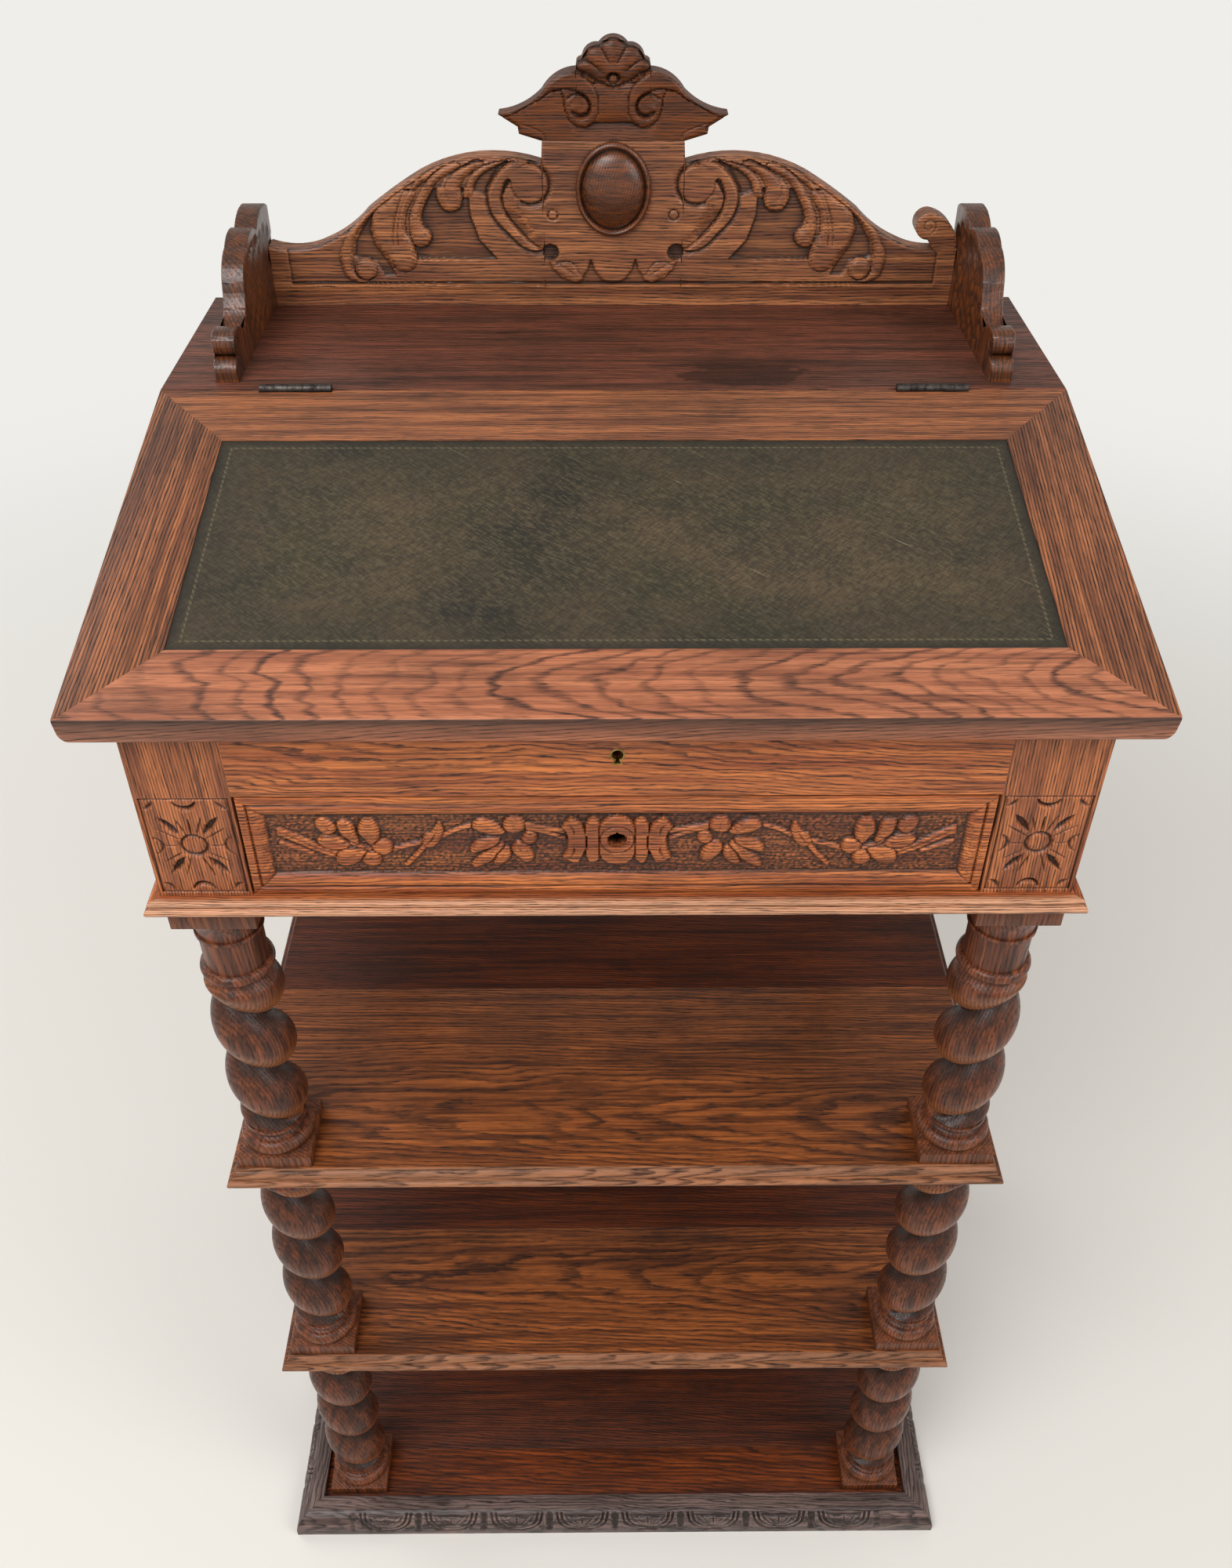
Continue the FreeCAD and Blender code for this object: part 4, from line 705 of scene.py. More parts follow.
    def tone(self, fine: float, broad: float, deep: float = 0.04) -> np.ndarray:
        """Tell hollows from high places, 0 for deep and 1 for rubbed.

        Args:
            fine: Gain on edges about a millimetre across.
            broad: Gain on forms about a centimetre across.
            deep: Darkening for each millimetre below the face, partly painted shade.

        Returns:
            A value for each cell.
        """
        # Hollows come out dark, partly for wax and partly as painted shade; ``deep`` adds more by depth.
        edges, forms = max(int(self.edge_reach / self.cell), 1), int(self.form_reach / self.cell)
        near = self.height - blurred(self.height, edges)
        far = self.height - blurred(self.height, forms)
        sunk = np.clip(self.height + 1.0, -5, 0)
        return np.clip(0.5 + fine * near + broad * far + deep * sunk, 0, 1)

    def read(self, values: np.ndarray, x: np.ndarray, z: np.ndarray) -> np.ndarray:
        """Read values between the cells.

        Args:
            values: A value for each cell.
            x: Places across.
            z: Places up.

        Returns:
            A value for each place.
        """
        rows, columns = values.shape
        i = np.clip((x - self.across[0]) / self.cell, 0, columns - 1.001)
        j = np.clip((z - self.up[0]) / self.cell, 0, rows - 1.001)
        a, b = i.astype(int), j.astype(int)
        u, v = i - a, j - b
        low = values[b, a] * (1 - u) + values[b, a + 1] * u
        high = values[b + 1, a] * (1 - u) + values[b + 1, a + 1] * u
        return low * (1 - v) + high * v


def blurred(values: np.ndarray, reach: int) -> np.ndarray:
    """Soften a grid over ``reach`` cells to each side, twice each way."""
    for axis in (0, 1, 0, 1):
        pad = [(reach, reach) if k == axis else (0, 0) for k in (0, 1)]
        total = np.cumsum(np.pad(values, pad, mode="edge"), axis)
        total = np.concatenate([np.zeros_like(np.take(total, [0], axis)), total], axis)
        size = 2 * reach + 1
        count = total.shape[axis]
        values = (np.take(total, range(size, count), axis) - np.take(total, range(count - size), axis)) / size
    return values


def lattice(columns: int, rows: int) -> tuple[BMesh, np.ndarray, np.ndarray]:
    """Start a mesh as a flat grid.

    Args:
        columns: Cells across.
        rows: Cells up.

    Returns:
        The mesh, and each vertex's share across and up.
    """
    mesh = bmesh.new()
    bmesh.ops.create_grid(mesh, x_segments=columns, y_segments=rows, size=1.0)
    share = (np.array([v.co[:2] for v in mesh.verts]) + 1) / 2
    return mesh, share[:, 0], share[:, 1]


def place_verts(mesh: BMesh, places: np.ndarray, tone: np.ndarray) -> None:
    """Move a grid's vertices to their places, given in millimetres.

    Args:
        mesh: The grid.
        places: One row of X, Y and Z for each vertex.
        tone: How hollow or rubbed each vertex is; on the columns it carries painted light and shade.
    """
    layer = mesh.verts.layers.float.new("relief")
    for vert, place, value in zip(mesh.verts, places * MM, tone):
        vert.co = place
        vert[layer] = value


def raise_face(
    mesh: BMesh,
    relief: Relief,
    cells: tuple[np.ndarray, np.ndarray],
    place: tuple[np.ndarray, np.ndarray],
    face: float,
    gains: Sequence[float],
) -> None:
    """Lay a grid over a board's face and raise its carving to the front.

    Args:
        mesh: The grid.
        relief: Carving of the face.
        cells: Each vertex's place across and up the relief.
        place: Each vertex's X and Z, in millimetres.
        face: Where the flat face lies.
        gains: How ``Relief.tone`` tells hollows from high places.
    """
    height = relief.read(relief.height, *cells)
    places = np.column_stack([place[0], face - height, place[1]])
    place_verts(mesh, places, relief.read(relief.tone(*gains), *cells))


def weld(mesh: BMesh, reach: float = WELD) -> None:
    """Join vertices that lie within ``reach`` millimetres of each other."""
    bmesh.ops.remove_doubles(mesh, verts=mesh.verts, dist=reach * MM)


def rim(mesh: BMesh) -> list[bmesh.types.BMEdge]:
    """List the edges that bound a mesh's openings."""
    return [edge for edge in mesh.edges if edge.is_boundary]


def revolve(
    mesh: BMesh,
    places: Sequence[tuple[float, float, float]],
    tone: Sequence[float],
    axis: tuple[int, int, int],
    steps: int,
) -> None:
    """Spin a line once round an axis through the origin.

    Args:
        mesh: Mesh that gains the surface.
        places: The line's points, in metres.
        tone: How hollow or rubbed each point is.
        axis: Direction of the axis.
        steps: Pieces of the turn.
    """
    layer = mesh.verts.layers.float["relief"]
    verts = [mesh.verts.new(place) for place in places]
    for vert, value in zip(verts, tone):
        vert[layer] = value
    edges = [mesh.edges.new(pair) for pair in zip(verts, verts[1:])]
    turn = 2 * math.pi
    bmesh.ops.spin(mesh, geom=verts + edges, axis=axis, cent=(0, 0, 0), angle=turn, steps=steps, use_merge=True)


def close_behind(mesh: BMesh, level: float, skip: tuple[float, float, float] | None = None) -> None:
    """Run a face's rim back along Y to a plane and close it there.

    Args:
        mesh: The open face.
        level: Where the back lies, in millimetres.
        skip: Middle and radius of a hole that stays open; its lining darkens towards the back, as painted shade.
    """
    layer = mesh.verts.layers.float["relief"]
    for share in (LIP, 1.0):
        for item in bmesh.ops.extrude_edge_only(mesh, edges=rim(mesh))["geom"]:
            if isinstance(item, bmesh.types.BMVert):
                item.co[1] += (level * MM - item.co[1]) * share
                item[layer] = NEUTRAL
    open_edges = rim(mesh)
    if skip:
        x, z, radius = (value * MM for value in skip)
        hole = [e for e in open_edges if math.hypot(e.verts[0].co[0] - x, e.verts[0].co[2] - z) <= 1.5 * radius]
        # Painted shade: the far end of the hole's lining is drawn dark.
        for vert in {vert for edge in hole for vert in edge.verts}:
            vert[layer] = 0.0
        open_edges = [edge for edge in open_edges if edge not in hole]
    bmesh.ops.holes_fill(mesh, edges=open_edges, sides=0)


def baked(name: str, mesh: BMesh) -> bpy.types.Mesh:
    """Turn a mesh under construction into mesh data, and free it."""
    data = bpy.data.meshes.new(name)
    mesh.to_mesh(data)
    mesh.free()
    return data


def link(name: str, data: bpy.types.ID) -> bpy.types.Object:
    """Add an object to the scene."""
    made = bpy.data.objects.new(name, data)
    bpy.context.scene.collection.objects.link(made)
    return made


def publish(
    mesh: BMesh,
    name: str,
    body: str,
    slot: str,
    finish: Finish,
    nodes: Sequence[str] = (),
    crease: float = 35.0,
) -> None:
    """Turn a finished mesh into a piece of the desk.

    Args:
        mesh: The mesh, which is freed.
        name: Name of the piece.
        body: Body that it rides on.
        slot: Material slot of the record; not used.
        finish: What it is finished with.
        nodes: Solids that it stands for.
        crease: Angle in degrees beyond which an edge stays crisp.
    """
    bmesh.ops.recalc_face_normals(mesh, faces=mesh.faces)
    piece = link(name, baked(name, mesh))
    piece.data.shade_smooth()
    piece.data.set_sharp_from_angle(angle=math.radians(crease))
    piece.data.materials.append(Cabinet.material(finish))
    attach(piece, body)
    if nodes:
        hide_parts(*nodes)
    log.info("%s: %d faces", name, len(piece.data.polygons))


# How ``Relief.tone`` reads each carving: gain on edges, on forms, and darkening with depth, partly painted shade.
BOARD_GAINS = (0.35, 0.10)
DRAWER_GAINS = (0.34, 0.05, 0.065)
STILE_GAINS = (0.45, 0.08, 0.06)
SKIRTING_GAINS = (0.70, 0.16)


def bend(points: Points, steps: int = 10) -> np.ndarray:
    """Run circular arcs through points: an end, a middle, an end, and so on.

    Args:
        points: Odd number of points; every second one lies within an arc.
        steps: Pieces of each arc.

    Returns:
        The line's points, one row each.
    """
    line = [np.asarray(points[:1], float)]
    for k in range(0, len(points) - 2, 2):
        a, m, b = (np.asarray(p, float) for p in points[k : k + 3])
        chords = 2 * np.array([m - a, b - a])
        centre = np.linalg.solve(chords, [m @ m - a @ a, b @ b - a @ a])
        turns = np.unwrap([math.atan2(*(p - centre)[::-1]) for p in (a, m, b)])
        angle = np.linspace(turns[0], turns[2], steps + 1)[1:]
        line.append(centre + np.hypot(*(a - centre)) * np.column_stack([np.cos(angle), np.sin(angle)]))
    return np.vstack(line)


def height_over(line: np.ndarray, x: np.ndarray) -> np.ndarray:
    """Read the height of a line that runs outwards to one side, at ``x``."""
    reach = np.minimum.accumulate(line[:, 0])
    return np.interp(x, reach[::-1], line[::-1, 1])


# ---------------------------------------------------------------------------
# Gallery
# ---------------------------------------------------------------------------
@dataclass
class GalleryBoard:
    """Carved board: two C-scrolls about a boss, and leaves that spill outwards.

    Heights are above the top shelf, lengths across from the middle.
    """

    half: float = 290.0
    joint: float = 133.0
    neck: float = 58.6
    cell: float = 1.05
    ground: float = -2.6
    rail: float = 17.6
    contour: Points = (
        (290.0, 50.1), (265.1, 46.6), (240.1, 53.0), (221.6, 62.9), (205.0, 77.0),
        (181.0, 93.6), (158.9, 106.8), (111.7, 120.5), (58.6, 115.1),
    )  # fmt: skip
    cartouche: Points = (
        (58.6, 134), (58.6, 117), (70, 112), (84, 104), (92.4, 90.2), (91.3, 81.2), (87.0, 72.1), (79.5, 63.0),
        (71.8, 55.3), (61.5, 47.3), (60.6, 43.0), (54.0, 36.8), (51.7, 31.8), (43.8, 23.0), (34.1, 19.4),
        (27.5, 22.2), (21.8, 29.4), (18.9, 38.5), (15.8, 29.5), (10.0, 22.0), (5.0, 19.6), (0.0, 19.2),
    )  # fmt: skip
    inner_band: Points = (
        (74.4, 112.6), (83.2, 105.2), (88.8, 100.7), (92.4, 90.2), (91.3, 81.2),
        (87.0, 72.1), (79.5, 63.0), (71.8, 55.3), (62.5, 48.3),
    )  # fmt: skip
    outer_band: Points = (
        (60.9, 46.0), (68.9, 45.9), (78.4, 50.5), (87.5, 59.8), (95.1, 67.5), (101.0, 76.6),
        (103.4, 88.6), (101.4, 97.6), (93.0, 109.5), (81.9, 116.9), (68.1, 116.3),
    )  # fmt: skip
    disc: tuple[float, float, float] = (68.7, 99.4, 15.2)
    plane_curve: Points = ((96.6, 37.8), (109.9, 58.1), (115.5, 70.3), (117.9, 82.5), (116.5, 93.0), (111.9, 104.9))
    triangle: Points = (
        (96.6, 37.6), (111.9, 54.7), (118.2, 74.2), (118.7, 90.0), (123.5, 97.0), (136.7, 95.0), (150.0, 97.0),
        (162.0, 80.0), (160.0, 60.0), (157.0, 52.0), (170.5, 50.0), (168.0, 37.9),
    )  # fmt: skip
    far_ground: Points = (
        (188, 88), (199.4, 79.8), (209.9, 66.1), (217.5, 53.8), (219.9, 41), (214, 37), (202, 36), (196, 24),
        (184, 24), (187, 33), (192, 41), (199, 51), (202, 64), (198, 79),
    )  # fmt: skip
    lobes: tuple[Points, ...] = (
        (
            (82.7, 119.1), (102.3, 115.5), (116.2, 107.3), (121.7, 97.9), (123.9, 89.6),
            (121.1, 87.3), (115.9, 90.9), (113.4, 100.3), (105.1, 108.5), (90.1, 115.6),
        ),
        (
            (111.8, 118.8), (129.4, 110.6), (141.0, 101.2), (145.8, 94.2), (144.7, 85.9), (140.3, 78.8),
            (134.2, 77.1), (127.0, 80.8), (124.7, 88.4), (125.3, 97.9), (117.4, 107.3), (104.8, 114.3),
        ),
        (
            (131.4, 116.4), (149.1, 107.0), (160.1, 92.9), (169.0, 76.1), (170.6, 64.0), (169.0, 54.2),
            (165.2, 48.9), (157.6, 49.4), (152.8, 55.6), (154.1, 61.7), (158.7, 66.6), (159.1, 76.2),
            (151.7, 90.6), (142.2, 102.4), (124.3, 113.0),
        ),
        (
            (174.7, 95.1), (190.4, 85.5), (198.6, 78.3), (201.9, 63.8), (198.6, 50.3), (191.2, 40.4), (185.8, 31.7),
            (177.2, 27.5), (169.3, 30.6), (166.2, 36.9), (166.8, 44.4), (169.0, 54.2), (172.8, 61.6), (171.5, 76.1),
            (162.6, 92.8),
        ),
    )  # fmt: skip
    leaf_back: Points = (
        (60.8, 116.6), (85, 121.4), (111.7, 121.8), (135, 117.0), (158.9, 108.0), (181, 95.0), (206, 77),
        (196.0, 82.0), (183.0, 90.0), (166.0, 92.0), (157.0, 100.0), (144.0, 104.0), (124.3, 111.0), (105.1, 112.5),
        (90.1, 116.6), (72.0, 116.4),
    )  # fmt: skip
    stem: Points = (
        (158.9, 107.5), (179.4, 96.0), (199.4, 81.8), (218.9, 64.5), (226.3, 53.8), (231.3, 43.8), (230.8, 33.8),
        (227.4, 23.7), (217.7, 19.2), (210.0, 19.5), (211.0, 24.0), (219.2, 28.9), (219.9, 40.2), (217.5, 53.8),
        (209.9, 66.1), (197.4, 78.3), (177.3, 92.4), (157.6, 104.8),
    )  # fmt: skip
    ball: tuple[float, float, float] = (210.1, 30.2, 9.7)
    veins: tuple[Points, ...] = (
        ((60.8, 120.4), (87.4, 119.9), (109.4, 117.4), (124.3, 112.0), (134.7, 104.8), (139.0, 95.4), (136.0, 86.0)),
        (
            (118.2, 122.0), (140.9, 114.6), (158.9, 104.9), (170.0, 92.8),
            (176.8, 78.5), (180.1, 63.9), (180.6, 50.2),
        ),
        ((161.6, 103.6), (172.7, 92.4), (180.2, 76.0), (184.1, 61.5), (184.6, 50.1)),
    )  # fmt: skip
    foot_leaf: Points = (
        (51.7, 31.8), (45.1, 36.6), (35.5, 36.7), (29.1, 28.8), (25.9, 22.3), (34.1, 19.4), (45.3, 26.2),
    )  # fmt: skip
    notch: tuple[float, float, float] = (53.0, 44.5, 7.6)
    peg: tuple[float, float, float] = (50.3, 75.2, 4.0)
    border: float = 274.5

    def carve(self) -> Relief:
        """Carve the board from its ground up to the scrolls.

        Returns:
            The finished relief.
        """
        cut = Relief((-self.half, self.half), (0.0, self.joint), level=self.ground)
        whole = [*self.cartouche, *((-x, z) for x, z in self.cartouche[-2::-1])]
        cut.pillow(whole, self.ground - 0.8, -0.3, 2.2, round_off=False)
        cut.twin = True
        cut.scoop(self.inner_band[1:7], 13.0, 2.0)
        cut.scoop(self.inner_band[5:], 9.0, 1.2)
        band = list(self.inner_band) + list(self.outer_band)
        plane = [*self.outer_band[1:9], (104, 108), (111.9, 104.9), *self.plane_curve[::-1][1:], (60, 37)]
        cut.pillow(plane, self.ground, self.ground, 1.0, round_off=False)
        cut.sink([(48, 117), (82, 121), (120, 121), (116.5, 93), (103.4, 88.6), (93, 109.5), (81.9, 117)], -5.0, 2.0)
        cut.sink(self.triangle, -5.4, 1.0)
        cut.sink(self.far_ground, -4.6, 2.0)
        cut.pillow(self.leaf_back, -4.0, 0.0, 4.0, round_off=False)
        for lobe, crown in zip(self.lobes, (-0.6, 0.0, 0.1, 0.2)):
            cut.pillow(lobe, -4.2, crown, 6.5)
        for vein in self.veins:
            cut.groove(vein, 1.7, 1.9, 0.5)
        cut.pillow(self.stem, -3.6, 0.3, 5.0)
        x, z, radius = self.ball
        cut.pillow(cut.ring((x, z), radius), -3.6, 0.4, 6.0)
        cut.groove([(219.2, 28.9), (216.5, 23.0), (210.0, 20.8), (203.5, 24.0)], 1.3, 2.4, 0.4)
        cut.groove(self.outer_band, 4.0, 1.6)
        cut.pillow(band, -4.4, 0.3, 2.2)
        x, z, radius = self.disc
        cut.groove(cut.ring((x, z), radius + 0.6)[4:14], 3.6, 3.2)
        cut.pillow(cut.ring((x, z), radius), -3.6, 0.2, 2.2)
        cut.pillow([(70, 115), (88, 108), (80, 97), (66, 98)], 0.19, 0.2, 1.0, round_off=False)
        self._edges(cut)
        return cut

    def _edges(self, cut: Relief) -> None:
        """Cut the notches, hatched feet, pegs, rail and worn arrises."""
        x, z, radius = self.notch
        cut.sink(cut.ring((x, z), radius), -5.2, 1.2)
        cut.pillow(self.foot_leaf, -2.4, 0.0, 3.0)
        for k in range(5):
            start = (29.5 + 4.0 * k, 25.5 + 2.6 * k)
            cut.groove([start, (start[0] + 4.5, start[1] + 1.0), (start[0] + 7.5, start[1] + 5.0)], 0.9, 1.1, 0.6)
        x, z, radius = self.peg
        cut.groove(cut.ring((x, z), radius), 1.3, 2.0, closed=True)
        below = cut.z < self.rail
        lean = np.clip(cut.z / self.rail, 0, 1)
        cut.height = np.where(below, -1.6 + 1.6 * lean**2, cut.height)
        cut.groove([(0.0, self.rail + 1.2), (self.border, self.rail + 1.2)], 1.3, 1.8)
        cut.rib([(0.0, self.rail - 1.2), (self.border, self.rail - 1.2)], 1.2, 0.4, 0.4)
        margin = (np.abs(cut.x) > self.border) & ~below
        cut.height = np.where(margin, -0.4, cut.height)
        cut.groove(bend(self.contour), 2.2, 1.3)
        cut.groove([(118.0, 96.0), (119.5, 90.0), (123.0, 86.5)], 1.5, 1.0)
        cut.height = np.minimum(cut.height, 0.4)

    def build(self) -> None:
        """Make the board."""
        relief = self.carve()
        columns, rows = int(2 * self.half / self.cell), int(self.joint / self.cell)
        mesh, across, up = lattice(columns, rows)
        turn = round(columns * (self.half - self.neck) / (2 * self.half)) / columns
        x = np.interp(across, [0, turn, 1 - turn, 1], [-self.half, -self.neck, self.neck, self.half])
        edge = bend(self.contour)
        top = np.where(np.abs(x) < self.neck + 1e-6, self.joint, height_over(edge, np.abs(x)))
        z = up * top
        raise_face(mesh, relief, (x, z), (x, GALLERY_FOOT + z), GALLERY_FACE, BOARD_GAINS)
        close_behind(mesh, GALLERY_BACK)
        publish(mesh, "gallery_carved_board", "desk", "carved_oak", CARVED, ["gallery_board"])


@dataclass
class GalleryCurl:
    """The small volute that stands on the right end of the board."""

    centre: tuple[float, float] = (264.5, 66.0)
    radius: float = 11.0
    end: float = 290.0

    def build(self) -> None:
        """Cut the volute, round its face and wind its groove."""
        (x, z), r = self.centre, self.radius
        outline = [(x + 0.8 * r, z - 2 * r), (self.end, z - 2 * r), (self.end, z - 1.3 * r)]
        head = bend([
            (self.end, z - 1.3 * r), (x + 1.4 * r, z + 0.35 * r), (x, z + r), (x - r, z), (x, z - r),
        ])  # fmt: skip
        outline = np.vstack([outline, head[1:]])
        relief = Relief((x - 14, self.end + 1), (z - 2 * r - 1, z + r + 1), level=-1.2)
        relief.pillow(outline, -1.2, 0.0, 3.0, round_off=False)
        turns = np.linspace(0, 1.35, 16)
        reach = 6.5 * (1 - 0.55 * turns)
        coil = np.column_stack([x + reach * np.cos(6.0 * turns - 1.2), z + reach * np.sin(6.0 * turns - 1.2)])
        relief.groove(coil, 1.1, 1.2, 0.4)
        mesh = slab(outline, relief, 0.9, depth=GALLERY_BACK - GALLERY_FACE)
        for vert in mesh.verts:
            u, w, level = vert.co
            vert.co = (u, GALLERY_FACE * MM - level, w + GALLERY_FOOT * MM)
        publish(mesh, "gallery_end_curl", "desk", "carved_oak", CARVED)


def slab(outline: Points, relief: Relief, cell: float, depth: float) -> BMesh:
    """Cut a board to an outline and carve its front.

    Args:
        outline: The board's outline.
        relief: Carving of the front; the same is cut on the rear.
        cell: Size of the mesh's cells.
        depth: Thickness of the board.

    Returns:
        The mesh in metres: outline across and up, carving along Z, from 0
        at the front down to the thickness at the rear.
    """
    mesh = bmesh.new()
    layer = mesh.verts.layers.float.new("relief")
    mesh.faces.new([mesh.verts.new((u, w, 0.0)) for u, w in outline])
    bmesh.ops.triangulate(mesh, faces=mesh.faces)
    low, high = np.min(outline, 0), np.max(outline, 0)
    for axis, normal in ((0, (1, 0, 0)), (1, (0, 1, 0))):
        for level in np.arange(low[axis] + cell, high[axis] - cell / 3, cell):
            point = (level, 0, 0) if axis == 0 else (0, level, 0)
            geom = list(mesh.verts) + list(mesh.edges) + list(mesh.faces)
            bmesh.ops.bisect_plane(mesh, geom=geom, plane_co=point, plane_no=normal, dist=1e-4)
    front = list(mesh.faces)
    made = bmesh.ops.extrude_face_region(mesh, geom=front, use_keep_orig=True)["geom"]
    rear = {item for item in made if isinstance(item, bmesh.types.BMVert)}
    u, w = np.array([vert.co[:2] for vert in mesh.verts]).T
    heights, tones = (relief.read(values, u, w) for values in (relief.height, relief.tone(*BOARD_GAINS)))
    for vert, height, tone in zip(mesh.verts, heights, tones):
        vert.co[2] = -depth - height if vert in rear else height
        vert[layer] = tone
        vert.co *= MM
    return mesh


@dataclass
class GalleryCrest:
    """Swan-neck wings with volutes, a hollow saddle and a scallop above."""

    joint: float = 133.0
    neck: float = 58.6
    tip: float = 91.9
    cell: float = 0.85
    contour: Points = (
        (91.9, 152.4), (70.5, 158.6), (57.1, 168.1), (43.5, 180.5), (29.3, 184.2), (29.0, 189.4), (24.9, 191.5),
        (20.3, 199.1), (11.6, 201.2), (0.0, 207.0), (-11.6, 201.2),
    )  # fmt: skip
    under: Points = ((91.9, 152.4), (76.0, 143.0), (76.0, 138.1), (58.6, 133.0), (0.0, 133.0))
    rim: Points = (
        (96, 149), (88, 150.2), (82.1, 151.3), (68.2, 157.9), (57.5, 163.5), (48.3, 169.4), (41.8, 169.6),
        (39.4, 163.0), (38.8, 155.7), (35.9, 148.0), (29.2, 143.2), (21.6, 142.5), (15.0, 146.6), (11.7, 153.0),
        (11.2, 160.0), (12.2, 167.6), (15.4, 173.8), (21.3, 179.2), (29.4, 184.0), (31.5, 188.0), (43.5, 186.5),
        (57.1, 174.1), (70.5, 164.6), (96, 158),
    )  # fmt: skip
    spiral: Points = (
        (48.3, 169.4), (39.3, 170.9), (33.3, 170.2), (27.4, 168.2), (21.4, 164.2), (18.5, 158.6), (20.0, 153.1),
        (24.6, 150.9), (30.6, 151.6), (33.0, 155.0),
    )  # fmt: skip
    shell: Points = (
        (0, 208.5), (11.6, 202.5), (20, 200), (24.5, 193), (29, 190), (30, 184.5), (21.3, 180.5), (12.4, 175.2),
        (0, 171.3),
    )  # fmt: skip
    shell_lines: tuple[Points, ...] = (
        ((11.6, 202.3), (8.6, 198.6), (6.4, 195.1), (2.9, 189.2)),
        ((24.2, 191.9), (19.8, 190.3), (14.4, 187.2), (10.1, 183.3)),
    )

    def carve(self) -> Relief:
        """Carve the crest.

        Returns:
            The finished relief.
        """
        cut = Relief((-93.0, 93.0), (132.0, 209.0), level=-0.5, twin=True)
        under = np.clip(1 - (146.0 - cut.z) / 12.0, 0, 1) * np.clip(1 - (cut.x / 36.0) ** 4, 0, 1)
        cut.height = np.where(cut.z < 148, cut.height - 3.6 * under, cut.height)
        saddle = (np.abs(cut.x) < 22) & (cut.z > 146) & (cut.z < 176)
        round_over = np.sqrt(np.clip(1 - ((cut.z - 160) / 15) ** 2, 0, 1))
        cut.height = np.where(saddle, -4.6 + 3.4 * round_over + 0.006 * cut.x**2, cut.height)
        shell = [*self.shell, *((-x, z) for x, z in self.shell[-2:0:-1])]
        cut.twin = False
        cut.pillow(shell, -6.0, -0.6, 15.0, round_off=False)
        cut.twin = True
        for line in self.shell_lines:
            cut.scoop(line, 4.0, 0.5)
            cut.groove(line, 1.2, 1.8, 0.3)
        cut.sink([(0, 183.0), (4.4, 181.8), (6.6, 178.4), (4.6, 174.9), (0, 173.4)], -5.6, 2.0, round_off=True)
        cut.sink([(-3, 182.0), (3, 182.0), (4, 176), (-4, 176)], -5.6, 2.0)
        cut.pillow(cut.ring((0.0, 177.4), 3.6), -5.2, -2.4, 2.4)
        cut.pillow(self.rim, -3.4, 0.3, 3.2, round_off=False)
        cut.groove(self.spiral, 2.0, 2.6, 0.5)
        cut.scoop([(28.5, 162.5), (25.0, 159.5), (26.0, 156.0)], 6.5, 1.6)
        cut.groove([(19.4, 156.0), (21.6, 152.4), (26.5, 151.0), (32.0, 153.8)], 3.0, 3.2, 0.3)
        cut.groove([(36.0, 164.0), (32.0, 166.8), (26.8, 167.2), (21.0, 164.2), (18.4, 159.0)], 1.7, 1.8)
        cut.groove(bend(self.contour), 2.0, 1.3)
        cut.groove([(91.9, 152.4), (76, 143), (76, 138.1), (58.6, 133)], 2.6, 1.6)
        cut.groove([(54.0, 122.0), (55.0, 136.0), (61.0, 141.0), (74.0, 145.5)], 1.0, 0.7)
        return cut

    def build(self) -> None:
        """Make the crest."""
        relief = self.carve()
        mesh, across, up = lattice(int(2 * self.tip / self.cell), int(75 / self.cell))
        x = (2 * across - 1) * self.tip
        low = height_over(np.asarray(self.under), np.abs(x))
        high = np.maximum(height_over(bend(self.contour), np.abs(x)), low)
        z = low + up * (high - low)
        raise_face(mesh, relief, (x, z), (x, GALLERY_FOOT + z), GALLERY_FACE, BOARD_GAINS)
        weld(mesh)
        close_behind(mesh, GALLERY_BACK)
        publish(mesh, "gallery_carved_crest", "desk", "carved_oak", CREST, ["gallery_crest"])


@dataclass
class GalleryBoss:
    """Domed oval in a raised rim, turned and then squeezed to an oval."""

    height: float = 96.0
    profile: Points = (
        (31.0, 0.0), (31.0, 2.6), (30.3, 4.0), (29.0, 4.9), (27.9, 4.4), (27.0, 3.0), (26.2, 1.6), (25.6, 2.4),
        (24.6, 4.2), (23.2, 5.8), (21.0, 7.2), (18.0, 8.5), (14.0, 9.7), (9.0, 10.6), (4.5, 10.95), (0.0, 11.0),
    )  # fmt: skip
    tall: float = 1.19
    valley: tuple[float, float] = (25.4, 27.0)
    crown: tuple[float, float] = (28.0, 30.0)

    def build(self) -> None:
        """Spin the profile about the board's normal and stretch it upright."""
        mesh = bmesh.new()
        mesh.verts.layers.float.new("relief")
        line = smooth_line(self.profile, steps=3)
        places = [(max(radius, 0.0) * MM, -out * MM, 0.0) for radius, out in line]
        dark, light = self.valley, self.crown
        # Relief: the rim's crown rubbed light; the valley dark, as wax and painted shade.
        tone = [0.12 if dark[0] < r < dark[1] else 0.72 if light[0] < r < light[1] else 0.48 for r, _ in line]
        revolve(mesh, places, tone, (0, 1, 0), 120)
        weld(mesh)
        bmesh.ops.scale(mesh, vec=(1.0, 1.0, self.tall), verts=mesh.verts)
        bmesh.ops.translate(mesh, vec=(0.0, GALLERY_FACE * MM, (GALLERY_FOOT + self.height) * MM), verts=mesh.verts)
        bmesh.ops.holes_fill(mesh, edges=rim(mesh), sides=0)
        publish(mesh, "gallery_oval_boss", "desk", "carved_oak", BOSS, ["gallery_boss"])


